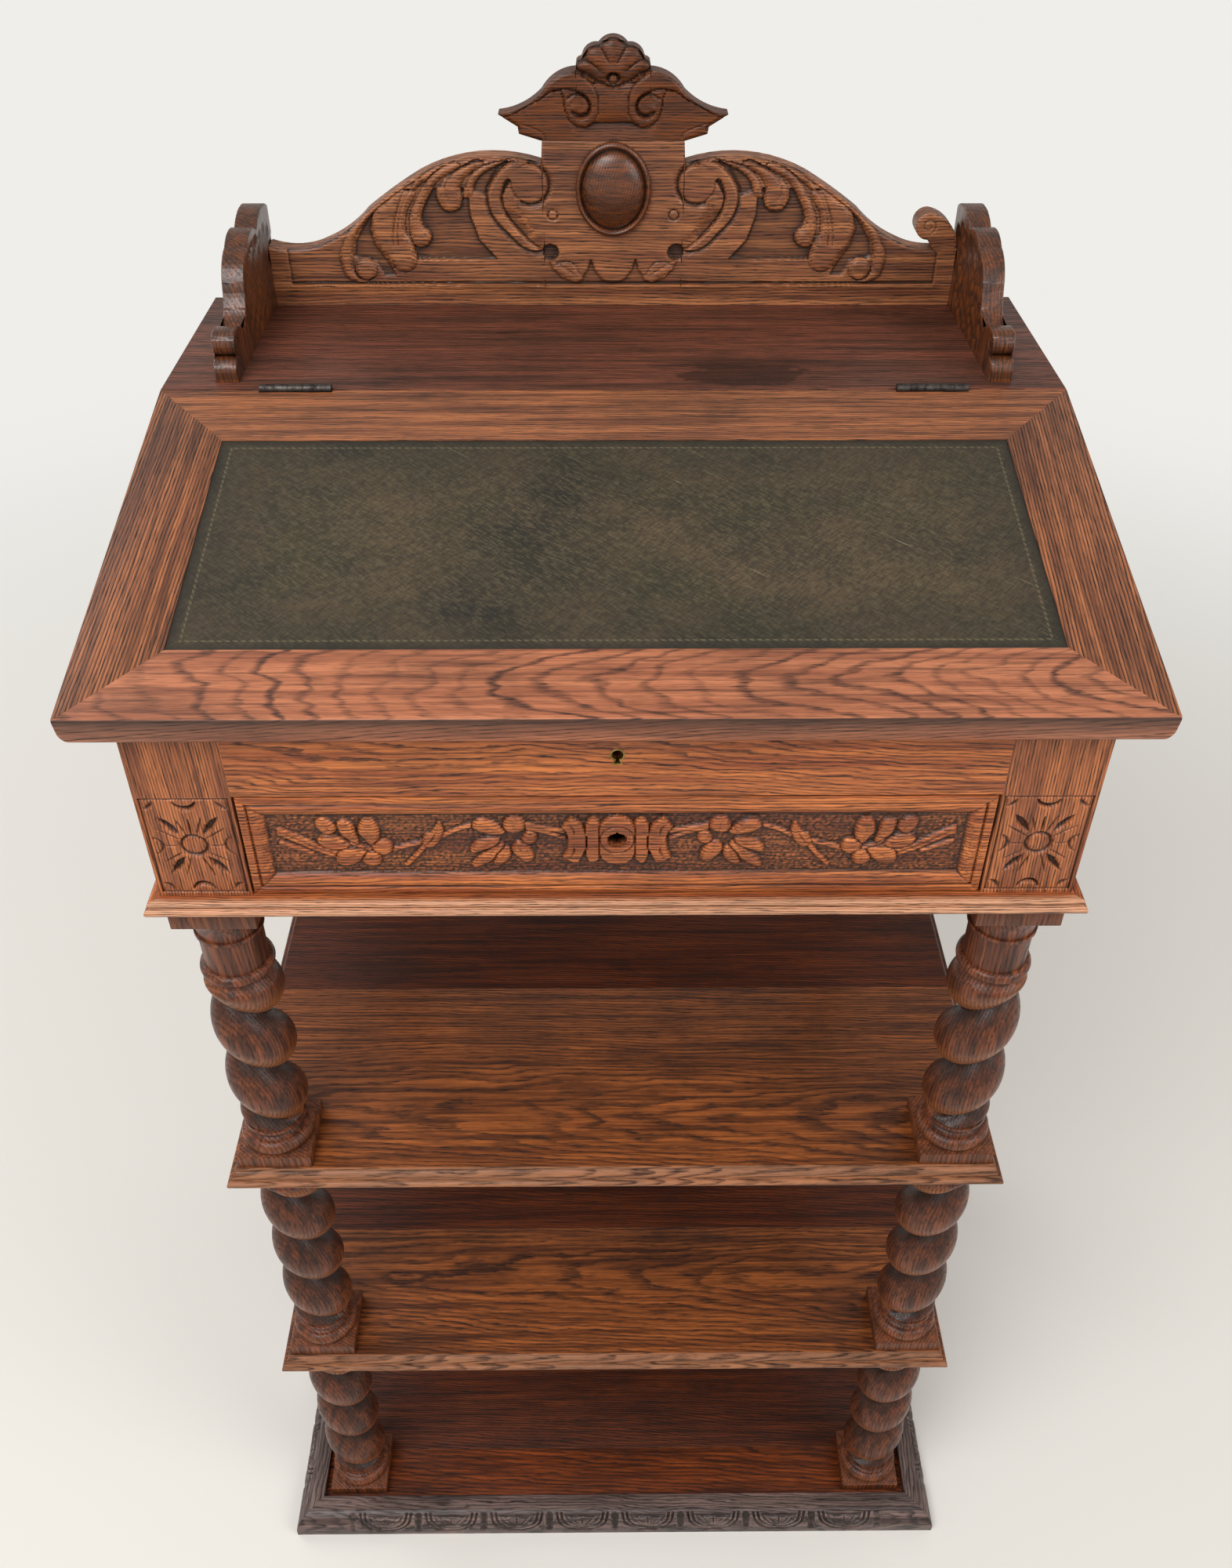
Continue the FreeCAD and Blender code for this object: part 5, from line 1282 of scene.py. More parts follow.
@dataclass
class GalleryBracket:
    """Scrolled bracket at one end, its inner face fluted from toe to head."""

    end: Side
    inner: float = 290.0
    thick: float = 18.5
    depth: float = 182.0
    height: float = 84.0
    cell: float = 1.5
    shares: Points = (
        (1, 0.09), (0.984, 0.165), (0.929, 0.196), (0.962, 0.3), (0.907, 0.417), (0.846, 0.4), (0.775, 0.298),
        (0.698, 0.4), (0.648, 0.595), (0.594, 0.78), (0.505, 0.869), (0.4, 0.95), (0.286, 0.893), (0.12, 1.0),
        (0, 0.93),
    )  # fmt: skip
    flutes: tuple[Points, ...] = (
        ((0.72, 0.22), (0.60, 0.50), (0.48, 0.74), (0.33, 0.80)),
        ((0.66, 0.16), (0.52, 0.42), (0.40, 0.66), (0.24, 0.78)),
        ((0.58, 0.10), (0.44, 0.32), (0.33, 0.56), (0.16, 0.80)),
        ((0.48, 0.08), (0.34, 0.26), (0.24, 0.48), (0.09, 0.74)),
        ((0.36, 0.07), (0.22, 0.24), (0.12, 0.46), (0.03, 0.62)),
    )

    def build(self) -> None:
        """Cut the bracket to its outline and stand it at its end."""
        size = np.array([self.depth, self.height])
        edge = bend(np.asarray(self.shares) * size)
        outline = np.vstack([[(0, 0), (self.depth, 0)], edge])
        relief = Relief((-1, self.depth + 1), (-1, self.height + 3), level=-1.2)
        relief.pillow(outline, -1.2, 0.0, 2.4, round_off=False)
        relief.height[relief.z < 2.5] = -0.2
        for flute in self.flutes:
            line = np.asarray(flute) * size
            relief.scoop(line, 6.0, 1.5)
            relief.groove(line, 1.3, 1.5, 0.7)
        eye = (0.93 * self.depth, 0.31 * self.height)
        relief.groove(relief.ring(eye, 4.2), 1.1, 1.0, closed=True)
        mesh = slab(outline, relief, self.cell, self.thick)
        for vert in mesh.verts:
            run, up, level = vert.co
            vert.co = (self.end.value * (self.inner * MM - level), GALLERY_BACK * MM - run, GALLERY_FOOT * MM + up)
        word = self.end.word
        publish(mesh, f"gallery_fluted_bracket_{word}", "desk", "carved_oak", BRACKET, [f"gallery_bracket_{word}"])


# ---------------------------------------------------------------------------
# Case
# ---------------------------------------------------------------------------
@dataclass
class DrawerFront:
    """Solid drawer front: laurel sprays beside a pierced strap ornament.

    Heights are above the floor, lengths across from the middle.
    """

    half: float = 256.0
    low: float = 962.3
    high: float = 1050.8
    lock_front: float = -221.0
    lock_half: float = 26.2
    lock_low: float = 1012.6
    cell: float = 0.95
    ground: float = -5.0
    undercut: float = 0.9
    frame_steps: Points = (
        (0, -2.2), (1.1, -0.2), (5.8, 0), (6.9, -2.6), (8.0, -0.5), (9.5, 0.0), (12.5, -0.6), (15.0, -1.9),
        (16.8, -3.4),
    )  # fmt: skip
    keyhole: tuple[float, float, float] = (0.0, 1011.3, 6.9)
    cluster: tuple[tuple[float, float], ...] = ((-171.7, 1002.3), (-74.0, 1010.0))
    leaves: tuple[tuple[Points, ...], ...] = (
        (
            (
                (-205.6, 1026.7), (-201.1, 1031.3), (-195.5, 1029.8), (-190.6, 1022.9), (-192.5, 1017.6),
                (-198.2, 1015.5), (-203.6, 1019.5),
            ),
            (
                (-190.7, 1026.8), (-185.0, 1029.4), (-179.7, 1025.6), (-177.9, 1016.6), (-177.0, 1006.5),
                (-183.5, 1010.1), (-189.5, 1016.5),
            ),
            (
                (-176.6, 1023.1), (-172.6, 1030.0), (-166.0, 1030.0), (-162.2, 1021.9), (-163.3, 1010.5),
                (-169.3, 1005.2), (-173.6, 1011.5), (-176.9, 1016.6),
            ),
            (
                (-205.6, 1011.7), (-200.3, 1016.2), (-192.7, 1014.9), (-186.4, 1010.5), (-182.0, 1004.6),
                (-190.3, 1001.6), (-199.9, 1002.9), (-204.9, 1007.3),
            ),
            (
                (-167.1, 1008.9), (-160.0, 1012.0), (-154.4, 1008.0), (-154.7, 1000.6), (-160.5, 996.6),
                (-167.1, 999.7), (-169.5, 1004.9),
            ),
            (
                (-194.4, 996.8), (-190.3, 1002.6), (-182.2, 1005.3), (-173.6, 1002.8), (-172.6, 998.3),
                (-179.4, 989.8), (-188.2, 986.5), (-194.3, 989.7),
            ),
            (
                (-176.3, 995.6), (-170.9, 1001.4), (-164.6, 1000.2), (-162.8, 994.4), (-164.9, 987.7),
                (-171.4, 986.6), (-176.5, 990.3),
            ),
        ),
        (
            (
                (-99.0, 1024.9), (-94.7, 1030.0), (-87.1, 1029.3), (-80.1, 1023.8), (-76.0, 1016.9), (-83.9, 1014.7),
                (-93.5, 1017.3), (-98.6, 1021.1),
            ),
            (
                (-78.2, 1023.8), (-74.5, 1031.2), (-68.7, 1032.8), (-63.1, 1028.2), (-62.8, 1020.6), (-69.3, 1016.4),
                (-75.6, 1017.9),
            ),
            ((-65.7, 1013.6), (-60.5, 1019.3), (-55.2, 1016.7), (-54.9, 1009.7), (-60.0, 1006.0), (-64.9, 1008.3)),
            (
                (-101.7, 1002.8), (-96.9, 1010.4), (-88.0, 1013.1), (-80.2, 1012.1), (-82.5, 1005.1), (-92.5, 1000.5),
                (-100.0, 998.4),
            ),
            (
                (-101.3, 988.2), (-96.8, 995.4), (-88.6, 1002.1), (-79.9, 1008.7), (-77.2, 1004.3), (-82.5, 994.5),
                (-91.3, 987.7), (-98.9, 984.4),
            ),
            (
                (-86.1, 991.0), (-82.8, 999.5), (-76.7, 1005.0), (-72.8, 1001.7), (-73.7, 993.7), (-79.4, 987.8),
                (-84.9, 987.2),
            ),
            (
                (-72.9, 1004.3), (-68.6, 1010.1), (-62.4, 1007.5), (-57.8, 999.2), (-57.4, 992.5), (-63.5, 989.3),
                (-69.7, 995.1), (-72.5, 999.1),
            ),
        ),
    )  # fmt: skip
    twigs: tuple[Points, ...] = (
        ((-230.3, 1020.0), (-219.9, 1014.5), (-207.5, 1006.2), (-194.3, 999.7)),
        ((-230.8, 1016.8), (-221.0, 1011.0), (-208.8, 1003.2), (-195.3, 996.6)),
        ((-230.5, 1007.9), (-219.5, 1003.2), (-210.7, 999.1)),
        ((-155.2, 1001.6), (-145.0, 1005.1), (-133.0, 1008.6), (-122.0, 1012.4), (-110.8, 1019.2), (-98.9, 1023.6)),
        ((-132.3, 1005.2), (-137.9, 997.2), (-146.3, 987.3)),
        ((-62.3, 1023.9), (-50.5, 1020.8), (-36.8, 1018.0)),
        ((-60.8, 1020.9), (-48.9, 1017.3), (-36.6, 1011.6)),
        ((-182.0, 1008.0), (-174.0, 1003.6), (-166.0, 1001.8)),
    )
    bud: Points = (
        (-121.0, 1026.8), (-118.6, 1018.3), (-122.2, 1008.2), (-128.4, 1003.2), (-134.1, 1006.8), (-131.5, 1015.7),
        (-127.0, 1018.0),
    )  # fmt: skip
    middle_strap: Points = (
        (0, 1033.2), (-5.7, 1031.6), (-10.3, 1027.1), (-12.9, 1021), (-12.9, 999), (-11.3, 993.7), (-6.7, 989.3),
        (0, 988.7), (6.7, 989.3), (11.3, 993.7), (12.9, 999), (12.9, 1021), (10.3, 1027.1), (5.7, 1031.6),
    )  # fmt: skip
    straps: tuple[Points, ...] = (
        (
            (-22.2, 1021), (-21.7, 1025.2), (-19.4, 1029.5), (-16.2, 1031.5), (-12.6, 1028.9), (-10.8, 1025.3),
            (-10.0, 1010), (-11.0, 994.7), (-12.3, 993), (-16, 989.2), (-19.8, 990.4), (-21.6, 995.5), (-22.6, 1008),
        ),
        (
            (-38.3, 1022.1), (-35, 1027.5), (-31.7, 1031.4), (-27.6, 1028.8), (-24, 1025.2), (-21.3, 1019.1),
            (-20.8, 1011.7), (-21, 1003), (-23.9, 995.5), (-26.3, 990.4), (-31, 989.9), (-37.9, 994.7),
            (-34.5, 1002.9), (-33.9, 1011.7), (-35.1, 1017.8),
        ),
    )  # fmt: skip
    strap_cuts: tuple[Points, ...] = (
        ((-34.2, 1026.0), (-30.4, 1021.6), (-29.0, 1015.0)),
        ((-29.0, 1006.5), (-30.0, 999.5), (-33.0, 994.3)),
        ((-22.4, 1023.0), (-22.0, 1018.0)),
        ((-22.4, 1000.0), (-22.8, 995.0)),
        ((-11.8, 1027.0), (-12.6, 1022.0)),
        ((-11.6, 993.5), (-12.6, 998.0)),
    )

    def carve(self) -> Relief:
        """Carve the drawer front.

        Returns:
            The finished relief.
        """
        cut = Relief((-self.half, self.half), (self.low, self.high))
        edge = np.minimum.reduce([self.half - np.abs(cut.x), cut.z - self.low, self.high - cut.z])
        cut.height = np.interp(edge, *zip(*self.frame_steps, (17.6, self.ground), (40, self.ground)))
        cut.pit([(-238, 980.3), (238, 980.3), (238, 1032.8), (-238, 1032.8)], 1.6, 0.34, seed=11)
        cut.twin = True
        for level, way in ((self.low, 1), (self.high, -1)):
            cut.groove([(-self.half + 0.5, level + 0.5 * way), (-self.half + 17.0, level + 17.0 * way)], 1.0, 1.0)
        for twig in self.twigs:
            cut.rib(twig, 2.1, self.ground, -2.2, 0.15)
        cut.pillow(self.bud, self.ground, -1.4, 3.5)
        cut.groove([(-133.0, 1005.5), (-127.0, 1011.5), (-121.8, 1022.5)], 1.1, 1.6, 0.4)
        foot = self.ground - self.undercut
        for spray, (x, z) in zip(self.leaves, self.cluster):
            for leaf in spray:
                cut.pillow(leaf, foot, -0.9, 4.2)
                outline = np.asarray(leaf)
                middle = outline.mean(0)
                root = outline[np.hypot(*(outline - (x, z)).T).argmin()]
                cut.groove([root, (root + 2 * middle) / 3, middle + 0.35 * (middle - root)], 0.9, 1.0, 0.6)
        for strap in (*self.straps, self.middle_strap):
            cut.twin = strap is not self.middle_strap
            cut.pillow(strap, foot, -1.0, 1.6, round_off=False)
        cut.twin = True
        for line in self.strap_cuts:
            cut.groove(line, 1.2, 1.7, 0.5)
        cut.twin = False
        x, z, radius = self.keyhole
        cut.groove(cut.ring((x, z), 11.8), 1.0, 1.6, closed=True)
        cut.scoop(np.asarray(cut.ring((x, z), radius + 1.2) + [(x + radius + 1.2, z)]), 1.8, 0.5)
        return cut

    def build(self) -> None:
        """Make the drawer front with its open keyhole and its lock's mortise."""
        relief = self.carve()
        mesh, across, up = lattice(int(2 * self.half / self.cell), int((self.high - self.low) / self.cell))
        x = (2 * across - 1) * self.half
        z = self.low + up * (self.high - self.low)
        raise_face(mesh, relief, (x, z), (x, z), CASE_FACE, DRAWER_GAINS)
        self._pierce(mesh)
        close_behind(mesh, self.lock_front, skip=self.keyhole)
        half, lock = self.half, self.lock_half
        for left, right, top in ((-half, -lock, self.high), (lock, half, self.high), (-lock, lock, self.lock_low)):
            block(mesh, (left, right), (self.lock_front, CASE_REAR), (self.low, top))
        publish(mesh, "drawer_carved_front", "drawer", "carved_oak", DRAWER_CARVED, ["drawer_front"])

    def _pierce(self, mesh: BMesh) -> None:
        """Open the six-sided keyhole; its lining back to the lock comes with the rim."""
        cx, cz, radius = self.keyhole
        doomed = []
        for face in mesh.faces:
            middle = face.calc_center_median() / MM
            turn = math.atan2(middle[2] - cz, middle[0] - cx)
            facet = (turn + math.pi / 6) % (math.pi / 3) - math.pi / 6
            if math.hypot(middle[0] - cx, middle[2] - cz) * math.cos(facet) < radius - 0.6:
                doomed.append(face)
        bmesh.ops.delete(mesh, geom=doomed, context="FACES")


def ease_edges(mesh: BMesh, edges: list[bmesh.types.BMEdge], breadth: float) -> dict:
    """Round edges over, ``breadth`` millimetres to each side, and give what was made."""
    return bmesh.ops.bevel(
        mesh, geom=edges, offset=breadth * MM, affect="EDGES", segments=2, profile=0.5, material=-1,
        clamp_overlap=True,
    )  # fmt: skip


def block(
    mesh: BMesh,
    across: tuple[float, float],
    depth: tuple[float, float],
    height: tuple[float, float],
    round_over: float = 0.0,
) -> None:
    """Add a squared block to a mesh, its edges eased if asked.

    Args:
        mesh: Mesh that gains the block.
        across: Its limits along X, in millimetres.
        depth: Its limits along Y.
        height: Its limits along Z.
        round_over: Breadth of the eased edges.
    """
    layer = mesh.verts.layers.float["relief"]
    sides = (across, depth, height)
    size = [(high - low) * MM for low, high in sides]
    middle = [(high + low) / 2 * MM for low, high in sides]
    matrix = Matrix.Translation(middle) @ Matrix.Diagonal((*size, 1.0))
    verts = bmesh.ops.create_cube(mesh, size=1.0, matrix=matrix)["verts"]
    for vert in verts:
        vert[layer] = NEUTRAL
    if round_over:
        edges = list({edge for vert in verts for edge in vert.link_edges})
        made = ease_edges(mesh, edges, round_over)
        for vert in made["verts"]:
            vert[layer] = EASED


@dataclass
class RosetteStile:
    """Front stile beside the drawer, an incised rosette at drawer height."""

    end: Side
    inner: float = 257.0
    outer: float = 322.0
    low: float = 962.0
    front_high: float = 1116.96
    rise: float = 4.14
    cell: float = 0.62
    middle: float = 46.5
    dart: Points = ((11, 0), (20, 3.6), (27, 3.0), (34, 0), (27, -3.0), (20, -3.6))

    def carve(self) -> Relief:
        """Incise the rosette, drawn about the stile's middle.

        Returns:
            The finished relief.
        """
        cut = Relief((-33.0, 33.0), (-1.0, 156.0))
        middle = self.middle
        corners = ((-29.5, 3.5), (29.5, 3.5), (29.5, 88), (-29.5, 88), (-29.5, 3.5))
        for start, end in zip(corners, corners[1:]):
            cut.groove([start, end], 1.1, 1.7)
        cut.twin = True
        for x, z in ((0.62, 0.79), (0.62, -0.79)):
            side = np.array([-z, x])
            way = np.array([x, z])
            dart = [(0, middle) + way * r + side * w for r, w in self.dart]
            cut.sink(dart, -4.0, 2.6)
            for lean in (-0.33, 0.33):
                ray = way + side * lean
                cut.groove([(0, middle) + ray * 9.5, (0, middle) + ray * (25 if lean > 0 else 27)], 1.2, 1.7, 0.4)
        cut.groove([(0, middle + 10), (0, middle + 24)], 1.0, 1.1, 0.5)
        cut.groove([(10, middle), (22, middle)], 1.1, 1.3, 0.5)
        for x, z, reach, start, end in (
            (0, 88, 8, 200, 340), (0, 3.5, 8, 20, 160), (29.5, middle, 8, 110, 250), (29.5, 88, 8.5, 190, 260),
            (29.5, 3.5, 8.5, 100, 170),
        ):  # fmt: skip
            turns = np.radians(np.linspace(start, end, 9))
            cut.groove([(x + reach * math.cos(t), z + reach * math.sin(t)) for t in turns], 2.6, 2.4, 0.6)
        cut.twin = False
        cut.groove(cut.ring((0, middle), 8.6), 2.2, 3.0, closed=True)
        cut.pillow(cut.ring((0, middle), 7.3), -1.8, 0.0, 4.5)
        return cut

    def build(self) -> None:
        """Make the stile, its head cut to the slope of the lid."""
        relief = self.carve()
        width, rise = self.outer - self.inner, self.front_high - self.low
        mesh, across, up = lattice(int(width / self.cell), int(rise / self.cell))
        u, w = (across - 0.5) * width, up * rise
        x = self.end.value * ((self.inner + self.outer) / 2) + u * self.end.value
        raise_face(mesh, relief, (u, w), (x, self.low + w), CASE_FACE, STILE_GAINS)
        close_behind(mesh, CASE_REAR)
        for vert in mesh.verts:
            if vert.co[1] > (CASE_REAR - WELD) * MM and vert.co[2] > (self.front_high - WELD) * MM:
                vert.co[2] += self.rise * MM
        word = self.end.word
        publish(mesh, f"case_rosette_stile_{word}", "desk", "case_oak", STILE, [f"case_stile_{word}"])


# ---------------------------------------------------------------------------
# Base
# ---------------------------------------------------------------------------
@dataclass
class Skirting:
    """Carved skirting: lunettes hang round a broad ovolo under plain steps."""

    half: float = 357.0
    depth_half: float = 269.0
    thick: float = 29.0
    height: float = 30.0
    toe: float = 8.0
    shoulder: float = 14.5
    spring: float = 27.6
    step: float = 1.2
    rim: float = 22.0
    period: float = 73.5
    margin: float = 45.0
    lunette: Points = ((-1, 1), (-0.9, 0.52), (-0.55, 0.14), (0, 0), (0.55, 0.14), (0.9, 0.52), (1, 1))
    hollow: Points = ((-1, 1), (-0.8, 0.4), (0, 0), (0.8, 0.4), (1, 1))
    leaf: Points = (
        (0, 8.0), (9, 10.5), (15, 15.5), (17.5, 21.5), (9, 19.0), (0, 21.5), (-9, 19.0), (-17.5, 21.5), (-15, 15.5),
        (-9, 10.5),
    )  # fmt: skip
    vein: Points = ((2, 10.0), (8, 15.0), (12, 20.0))
    cell: float = 0.9

    def profile(self) -> np.ndarray:
        """Give the section: distance in from the face, and height, all round."""
        swell = (0.24 * self.shoulder, 0.4 * self.toe + 0.6 * self.spring)
        arc = bend([(0.0, self.toe), swell, (self.shoulder, self.spring)], 34)
        ledge = self.spring + self.step
        steps = [(self.shoulder, ledge), (self.rim, ledge), (self.rim, self.height), (self.thick, self.height)]
        return np.vstack([[(0, 0), (0, 3), (0, 6)], arc, steps, [(self.thick, 0), (0, 0)]])

    def carve(self, reach: float) -> Relief:
        """Cut the lunettes along the ovolo.

        Args:
            reach: Half the length of the run.

        Returns:
            Relief over the run and the way up the ovolo, from its foot.
        """
        cut = Relief((-reach, reach), (-1.0, 27.0), cell=0.6)
        for k in range(-6, 6):
            middle = (k + 0.5) * self.period
            if abs(middle) > reach - self.margin:
                continue
            for spread, drop in ((28.5, 2.2), (23.5, 6.0)):
                cut.groove([(middle + spread * x, drop + (23.4 - drop) * z) for x, z in self.lunette], 1.9, 2.3)
            cut.sink([(middle + 21 * x, 7.0 + 16.0 * z) for x, z in self.hollow], -1.5, 2.0)
            cut.pillow([(middle + x, z) for x, z in self.leaf], -2.2, 0.0, 3.0)
            cut.groove([(middle, 9.0), (middle, 20.0)], 1.2, 1.6, 0.4)
            for side in (-1, 1):
                cut.groove([(middle + x * side, z) for x, z in self.vein], 1.1, 1.3, 0.4)
                between = middle + side * self.period / 2
                cut.scoop([(between, 6.0), (between, 21.0)], 4.5, 1.4)
        return cut

    def run(
        self, name: str, finish: Oak, reach: float, mitres: tuple[int, int], turn: float, shift: float
    ) -> None:
        """Make one length of skirting.

        Args:
            name: Side of the desk that it runs along.
            finish: Its oak.
            reach: Half its length.
            mitres: 1 where its start and its end are mitred, else 0.
            turn: Quarter turn of its face from the front, in degrees.
            shift: Distance of its face from the middle of the desk.
        """
        profile = self.profile()
        ways = np.gradient(profile, axis=0)
        out = np.column_stack([-ways[:, 1], ways[:, 0]]) / np.maximum(np.hypot(*ways.T), 1e-9)[:, None]
        passed = np.concatenate([[0], np.cumsum(np.hypot(*np.diff(profile, axis=0).T))]) - 6.0
        carved = (profile[:, 0] <= self.shoulder + 1e-6) & (profile[:, 1] <= self.spring + 1e-6)
        carved &= profile[:, 1] >= self.toe - 2.1
        relief = self.carve(reach)
        mesh, across, up = lattice(int(2 * reach / self.cell), len(profile) - 1)
        row = np.rint(up * (len(profile) - 1)).astype(int)
        depth, z = profile[row].T
        start, end = -reach + depth * mitres[0], reach - depth * mitres[1]
        u = start + across * (end - start)
        height = np.where(carved[row], relief.read(relief.height, u, passed[row]), 0.0)
        depth, z = depth + out[row, 0] * height, z + out[row, 1] * height
        tone = np.where(carved[row], relief.read(relief.tone(*SKIRTING_GAINS), u, passed[row]), 0.52)
        tone = np.where((profile[row, 0] == self.shoulder) | (profile[row, 0] == self.rim), 0.66, tone)
        angle = math.radians(turn)
        x = u * math.cos(angle) + (shift - depth) * math.sin(angle)
        y = u * math.sin(angle) - (shift - depth) * math.cos(angle)
        place_verts(mesh, np.column_stack([x, y, z]), tone)
        weld(mesh)
        bmesh.ops.holes_fill(mesh, edges=rim(mesh), sides=0)
        publish(mesh, f"skirting_carved_{name}", "desk", "base_oak", finish, [f"skirting_{name}"], crease=50.0)

    def build(self) -> None:
        """Make the three lengths."""
        self.run("front", SKIRTING, self.half, (1, 1), 0, self.depth_half)
        self.run("right", SKIRTING_SIDE, self.depth_half, (1, 0), 90, self.half)
        self.run("left", SKIRTING_SIDE, self.depth_half, (0, 1), -90, self.half)


# ---------------------------------------------------------------------------
# Columns
# ---------------------------------------------------------------------------
@dataclass
class TwistColumn:
    """Barley-twist column between a turned base and a turned cap."""

    tier: str
    row: str
    end: Side
    level: float
    tall: bool
    depth: float
    across: float = 290.0
    plinth: float = 31.25
    plinth_height: float = 13.0
    pitch: float = 66.0
    crest: float = 31.0
    swell: float = 40.5
    foot: float = 40.0
    waist: float = 24.5
    fade: float = 9.0
    eased: float = 0.9
    head_block: float = 8.0
    tall_head_block: float = 17.0
    cell: float = 1.5
    facets: int = 84
    turned_facets: int = 56
    # Relief value across a bine, by distance from its crest: painted light on its lower half, painted shade on its
    # upper half, darkest in the grooves.
    shade: Points = (
        (-33, 0), (-30, 0.35), (-26, 0.96), (-13, 0.90), (-3, 0.60), (6, 0.38), (20, 0.30), (28, 0.14), (33, 0),
    )  # fmt: skip

    @property
    def height(self) -> float:
        """Height of the column."""
        return 304.0 if self.tall else 293.0

    @property
    def head(self) -> float:
        """Where the twist ends."""
        return 219.0 if self.tall else 266.0

    def turned(self) -> tuple[Points, Points]:
        """Give the turned sections below and above the twist: radius and height."""
        torus = bend([(24, 13), (31, 20), (24, 27)], 10)[1:]
        scotia = bend([(25.5, 29), (21.5, 33), (25.5, 37)], 6)[1:]
        base = [(0, 13), (24, 13), *torus, (25.5, 27), (25.5, 29), *scotia, (26, 37), (26, 40), (0, 40)]
        h = self.head
        cap = [(0, h), (23.5, h), *bend([(23.5, h), (28.5, h + 5), (23.5, h + 10)], 8)[1:]]
        if self.tall:
            cap += [(24, h + 10), (24, h + 43), (26, h + 43), (26, h + 46), (24.5, h + 46)]
            rise, top = h + 46, h + 68
        else:
            rise, top = h + 10, h + 19
        flare = [(self.waist + 6.5 * t**2.0, rise + (top - rise) * t) for t in np.linspace(0, 1, 7)]
        return base, cap + flare + [(0, top)]

    def build(self) -> None:
        """Make the column and stand it in its place."""
        mesh, around, up = lattice(self.facets, int((self.head - self.foot) / self.cell))
        z = self.foot + up * (self.head - self.foot)
        angle = 2 * math.pi * around
        side = self.end.value
        start = math.pi if self.end is Side.RIGHT else 0
        lead = np.mod(angle - start, 2 * math.pi) * side / (2 * math.pi) * self.pitch
        offset = np.mod(z - lead + self.pitch / 2, self.pitch) - self.pitch / 2
        radius = self.crest - self.swell + np.sqrt(self.swell**2 - offset**2)
        foot = bend([(25.0, self.foot), (28.75, self.foot + 3.9), (31.5, self.foot + 13)], 6)
        head = bend([(31.5, self.head - 13), (27.75, self.head - 3.9), (24.0, self.head)], 6)
        hull = np.vstack([foot, head])
        radius = np.minimum(radius, np.interp(z, hull[:, 1], hull[:, 0]))
        ends = np.clip(1 - np.minimum(z - self.foot, self.head - z) / self.fade, 0, 1) ** 2
        radius = radius + (self.waist - radius) * ends
        # Painted light and shade: each bine lighter below its crest, darker above it and in the grooves.
        tone = np.interp(offset, *zip(*self.shade))
        place_verts(mesh, np.column_stack([radius * np.cos(angle), radius * np.sin(angle), z]), tone)
        weld(mesh)
        for section in self.turned():
            places = [(radius * MM, 0.0, level * MM) for radius, level in section]
            # Relief by radius: the rings' crests rubbed light, the narrow hollows dark, as wax and painted shade.
            tone = [0.30 + 0.38 * (radius - 21.5) / 9.5 if radius > 1 else NEUTRAL for radius, _ in section]
            revolve(mesh, places, tone, (0, 0, 1), self.turned_facets)
        weld(mesh, WELD / 2)
        top = self.height - (self.tall_head_block if self.tall else self.head_block)
        square = (-self.plinth, self.plinth)
        block(mesh, square, square, (0.0, self.plinth_height), self.eased)
        block(mesh, square, square, (top, self.height), self.eased)
        place = (side * self.across * MM, self.depth * MM, self.level * MM)
        bmesh.ops.translate(mesh, vec=place, verts=mesh.verts)
        name = f"{self.tier}_{self.row}_{self.end.word}"
        publish(mesh, f"twist_column_{name}", "desk", "turned_oak", TURNED, [f"column_{name}"], crease=42.0)


def columns() -> list[TwistColumn]:
    """List the twelve columns, four to a tier."""
    tiers = (("lower", 20.0, False), ("middle", 331.0, False), ("upper", 642.0, True))
    return [
        TwistColumn(tier, row, end, level, tall, depth)
        for tier, level, tall in tiers
        for row, depth in (("front", -202.0), ("rear", 228.0))
        for end in Side
    ]


